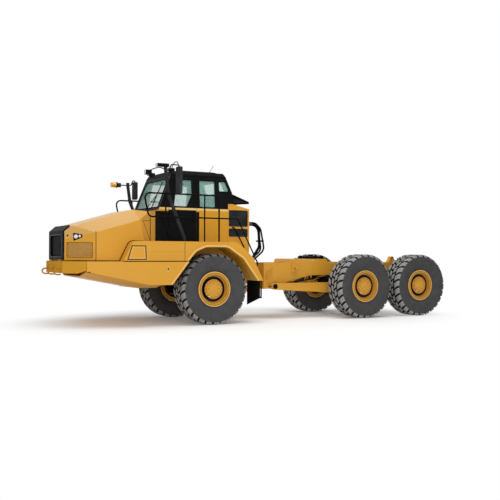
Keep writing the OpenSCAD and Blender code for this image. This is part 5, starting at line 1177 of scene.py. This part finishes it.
# Engine bay, seen with the hood tilted: rocker covers with ribs, air filter and its pipe, fan and its ring
engineTrim = {
    "covers": {"x": (0.86, 1.42, 1.98), "size": (0.46, 0.17, 0.085), "y": 0.20, "top": 2.0,
               "rib": ((-0.005, -0.07, 0), (0.005, 0.07, 0.012)), "ribs": (-0.18, 0.18, 9)},
    "filter": {"centre": (1.0, 0.0, 2.155), "radius": 0.115, "half": 0.34},
    "pipe": ((1.0, 0.34, 2.155), (1.0, 0.50, 2.13), (1.35, 0.53, 2.06), (1.9, 0.53, 1.86), (2.1, 0.46, 1.80)),
    "pipeRadius": 0.055,
    "fan": {"centre": (2.775, 0.0, 1.72), "radius": 0.27, "blades": 9, "ring": 0.295},
    "hub": ((0.02, -0.09), (0.085, -0.09), (0.085, 0.03), (0.06, 0.04), (0.01, 0.042)),
}


def makeCovers(c):
    # Blocks in two rows, with ribs at even steps along their tops
    (long, wide, tall), top = c["size"], c["top"]
    rib, parts = boxPart(*c["rib"], 0.003), []
    for x in c["x"]:
        for y in (-c["y"], c["y"]):
            low, high = (x - long / 2, y - wide / 2, top - 0.004), (x + long / 2, y + wide / 2, top + tall)
            parts.append(boxPart(low, high, 0.02))
            parts.append(repeated(rib, [(x + d, y, top + tall - 0.003) for d in np.linspace(*c["ribs"])]))
    return parts


def makeEngineTrim(e):
    # Fan: radius by span, angle and lean by width. Filter: a profile stepped by a cosine and drawn in at its ends
    f, fan = e["filter"], e["fan"]
    middle, _, height = fan["centre"]
    t = np.linspace(-1, 1, 41)
    profile = np.stack([f["radius"] * (1 - 0.05 * (np.cos(t * 40) > 0.4)) * (1 - 0.12 * t ** 10), t * f["half"]], 1)
    dark = [lathePart(profile, f["centre"], (0, 1, 0), 32)]
    span, across = np.linspace(0.25, 1.0, 7)[:, None], np.linspace(-1, 1, 5)[None, :]
    for a in fullTurn(fan["blades"]):
        angle = a + across * (0.16 + 0.06 * span)
        r = fan["radius"] * span + 0 * across
        blade = np.stack([middle + 0.022 * across + 0 * span, r * np.cos(angle), height + r * np.sin(angle)], -1)
        dark.append(capped(np.concatenate([blade, blade[:, ::-1] + (0.006, 0, 0)], 1)))
    dark.append(lathePart(e["hub"], fan["centre"], (1, 0, 0), 24))
    turn = fullTurn(48)
    loop = np.stack([fan["ring"] * np.cos(turn), height + fan["ring"] * np.sin(turn)], 1)
    dark.append(beadPart(lifted(loop, 0, middle), (1, 0, 0), 0.030, 0.055))
    pipe = tubePart(denser(e["pipe"], 8), e["pipeRadius"], 16, (1, 0, 0.3))
    makePiece("engineCovers", makeCovers(e["covers"]) + [pipe], "tractor", "engine_metal")
    makePiece("engineFan", dark, "tractor", "black_plastic")


makeEngineTrim(engineTrim)
print("engine bay made")


# Louvre frames, grab rails and rows of panel bolts
panelTrim = {
    "louvres": ((-1.122, 2.276, -0.633, 2.645), (-1.122, 2.033, -0.633, 2.206)), "face": 0.850,
    "housingBolts": ((-0.660, 1.72), (-0.660, 1.86), (-1.140, 1.72), (-1.140, 1.86), (-1.140, 2.24)),
    "grab": ((-0.72, 0.846, 2.240), (-0.72, 0.940, 2.240), (-1.00, 0.940, 1.750), (-1.00, 0.846, 1.750)),
    "bumperBolts": (-0.42, -0.14, 0.14, 0.42), "bumper": (3.300, 1.40),
}


def makePanelTrim(p):
    # Beads round the louvres' rectangles, a round bar along the grab's rounded line, bolts at given places
    frames = [beadPart(lifted(rectPath(*corners, 0.02, 4), 1, p["face"]), (0, 1, 0), 0.022, 0.008)
              for corners in p["louvres"]]
    grab = tubePart(roundedPath(p["grab"], 0.05), 0.016, 10, (1, 0, 0))
    makePiece("grabRails", bothSides([grab]), "tractor", "black_paint")
    makePiece("louvreFrames", bothSides(frames), "tractor", "black_plastic", greyLouvre)
    bolts = bothSides([boltRow(0.010, 0.009, (0, 1, 0), lifted(p["housingBolts"], 1, p["face"]))])
    x, z = p["bumper"]
    bolts.append(boltRow(0.014, 0.012, (1, 0, 0), [(x, y, z) for y in p["bumperBolts"]]))
    makePiece("panelBolts", bolts, "tractor", "yellow_paint")


makePanelTrim(panelTrim)
print("panel trim made")


# Light and floor; a lamp is given by its place, size and power
stageLight = {
    "world": 0.43, "floorShade": 0.90, "floorGlow": 0.10, "floorSpan": 60.0, "aim": (0, 0, 1.2),
    "fade": (2.3, 4.4), "fadeMiddle": -1.5, "fadeStretch": 1.5,
    "lamps": {"keyLamp": ((0.5, 3.0, 11.0), 9.0, 700.0), "fillLamp": ((7.5, 12.0, 5.0), 8.0, 480.0)},
}


def makeWorld(s):
    # Strength 1 where the world is seen, and its own share as a light
    world = bpy.data.worlds.new("studio")
    bpy.context.scene.world = world
    world.use_nodes = True
    tree = world.node_tree
    background = tree.nodes["Background"]
    background.inputs["Color"].default_value = rgb(1, 1, 1)
    tree.links.new((seenDirectly(tree) * (1.0 - s["world"]) + s["world"]).socket, background.inputs["Strength"])


def makeFloor(s):
    # The floor fades to white with the distance from its middle, which counts less along X
    span = s["floorSpan"]
    mesh = bpy.data.meshes.new("floor")
    mesh.from_pydata([(-span, -span, 0), (span, -span, 0), (span, span, 0), (-span, span, 0)], [], [(0, 1, 2, 3)])
    floor = addObject("floor", mesh)
    finish = Finish("paleFloor", Roughness=0.95, Specular_IOR_Level=0.0, Base_Color=rgb(*[s["floorShade"]] * 3),
                    Emission_Color=rgb(1, 0.985, 0.975), Emission_Strength=s["floorGlow"])
    place, x, y, z = finish.place()
    away = (((x - s["fadeMiddle"]) / s["fadeStretch"]) ** 2.0 + y ** 2.0) ** 0.5
    links, tree = finish.tree.links, finish.tree
    white, blend = (tree.nodes.new("ShaderNode" + kind) for kind in ("Emission", "MixShader"))
    links.new((seenDirectly(tree) * away.band(*s["fade"])).socket, blend.inputs[0])
    links.new(finish.shader.outputs[0], blend.inputs[1])
    links.new(white.outputs[0], blend.inputs[2])
    links.new(blend.outputs[0], tree.nodes["Material Output"].inputs["Surface"])
    dress(floor, finish.material)


def makeStage(s):
    # World, floor, and area lamps turned towards the aim
    makeWorld(s)
    makeFloor(s)
    for name, (place, size, power) in s["lamps"].items():
        data = bpy.data.lights.new(name, "AREA")
        data.energy = power
        data.size = size
        lamp = addObject(name, data)
        lamp.location = place
        lamp.rotation_euler = (Vector(s["aim"]) - Vector(place)).to_track_quat("-Z", "Y").to_euler()


makeStage(stageLight)
print("light and floor set")
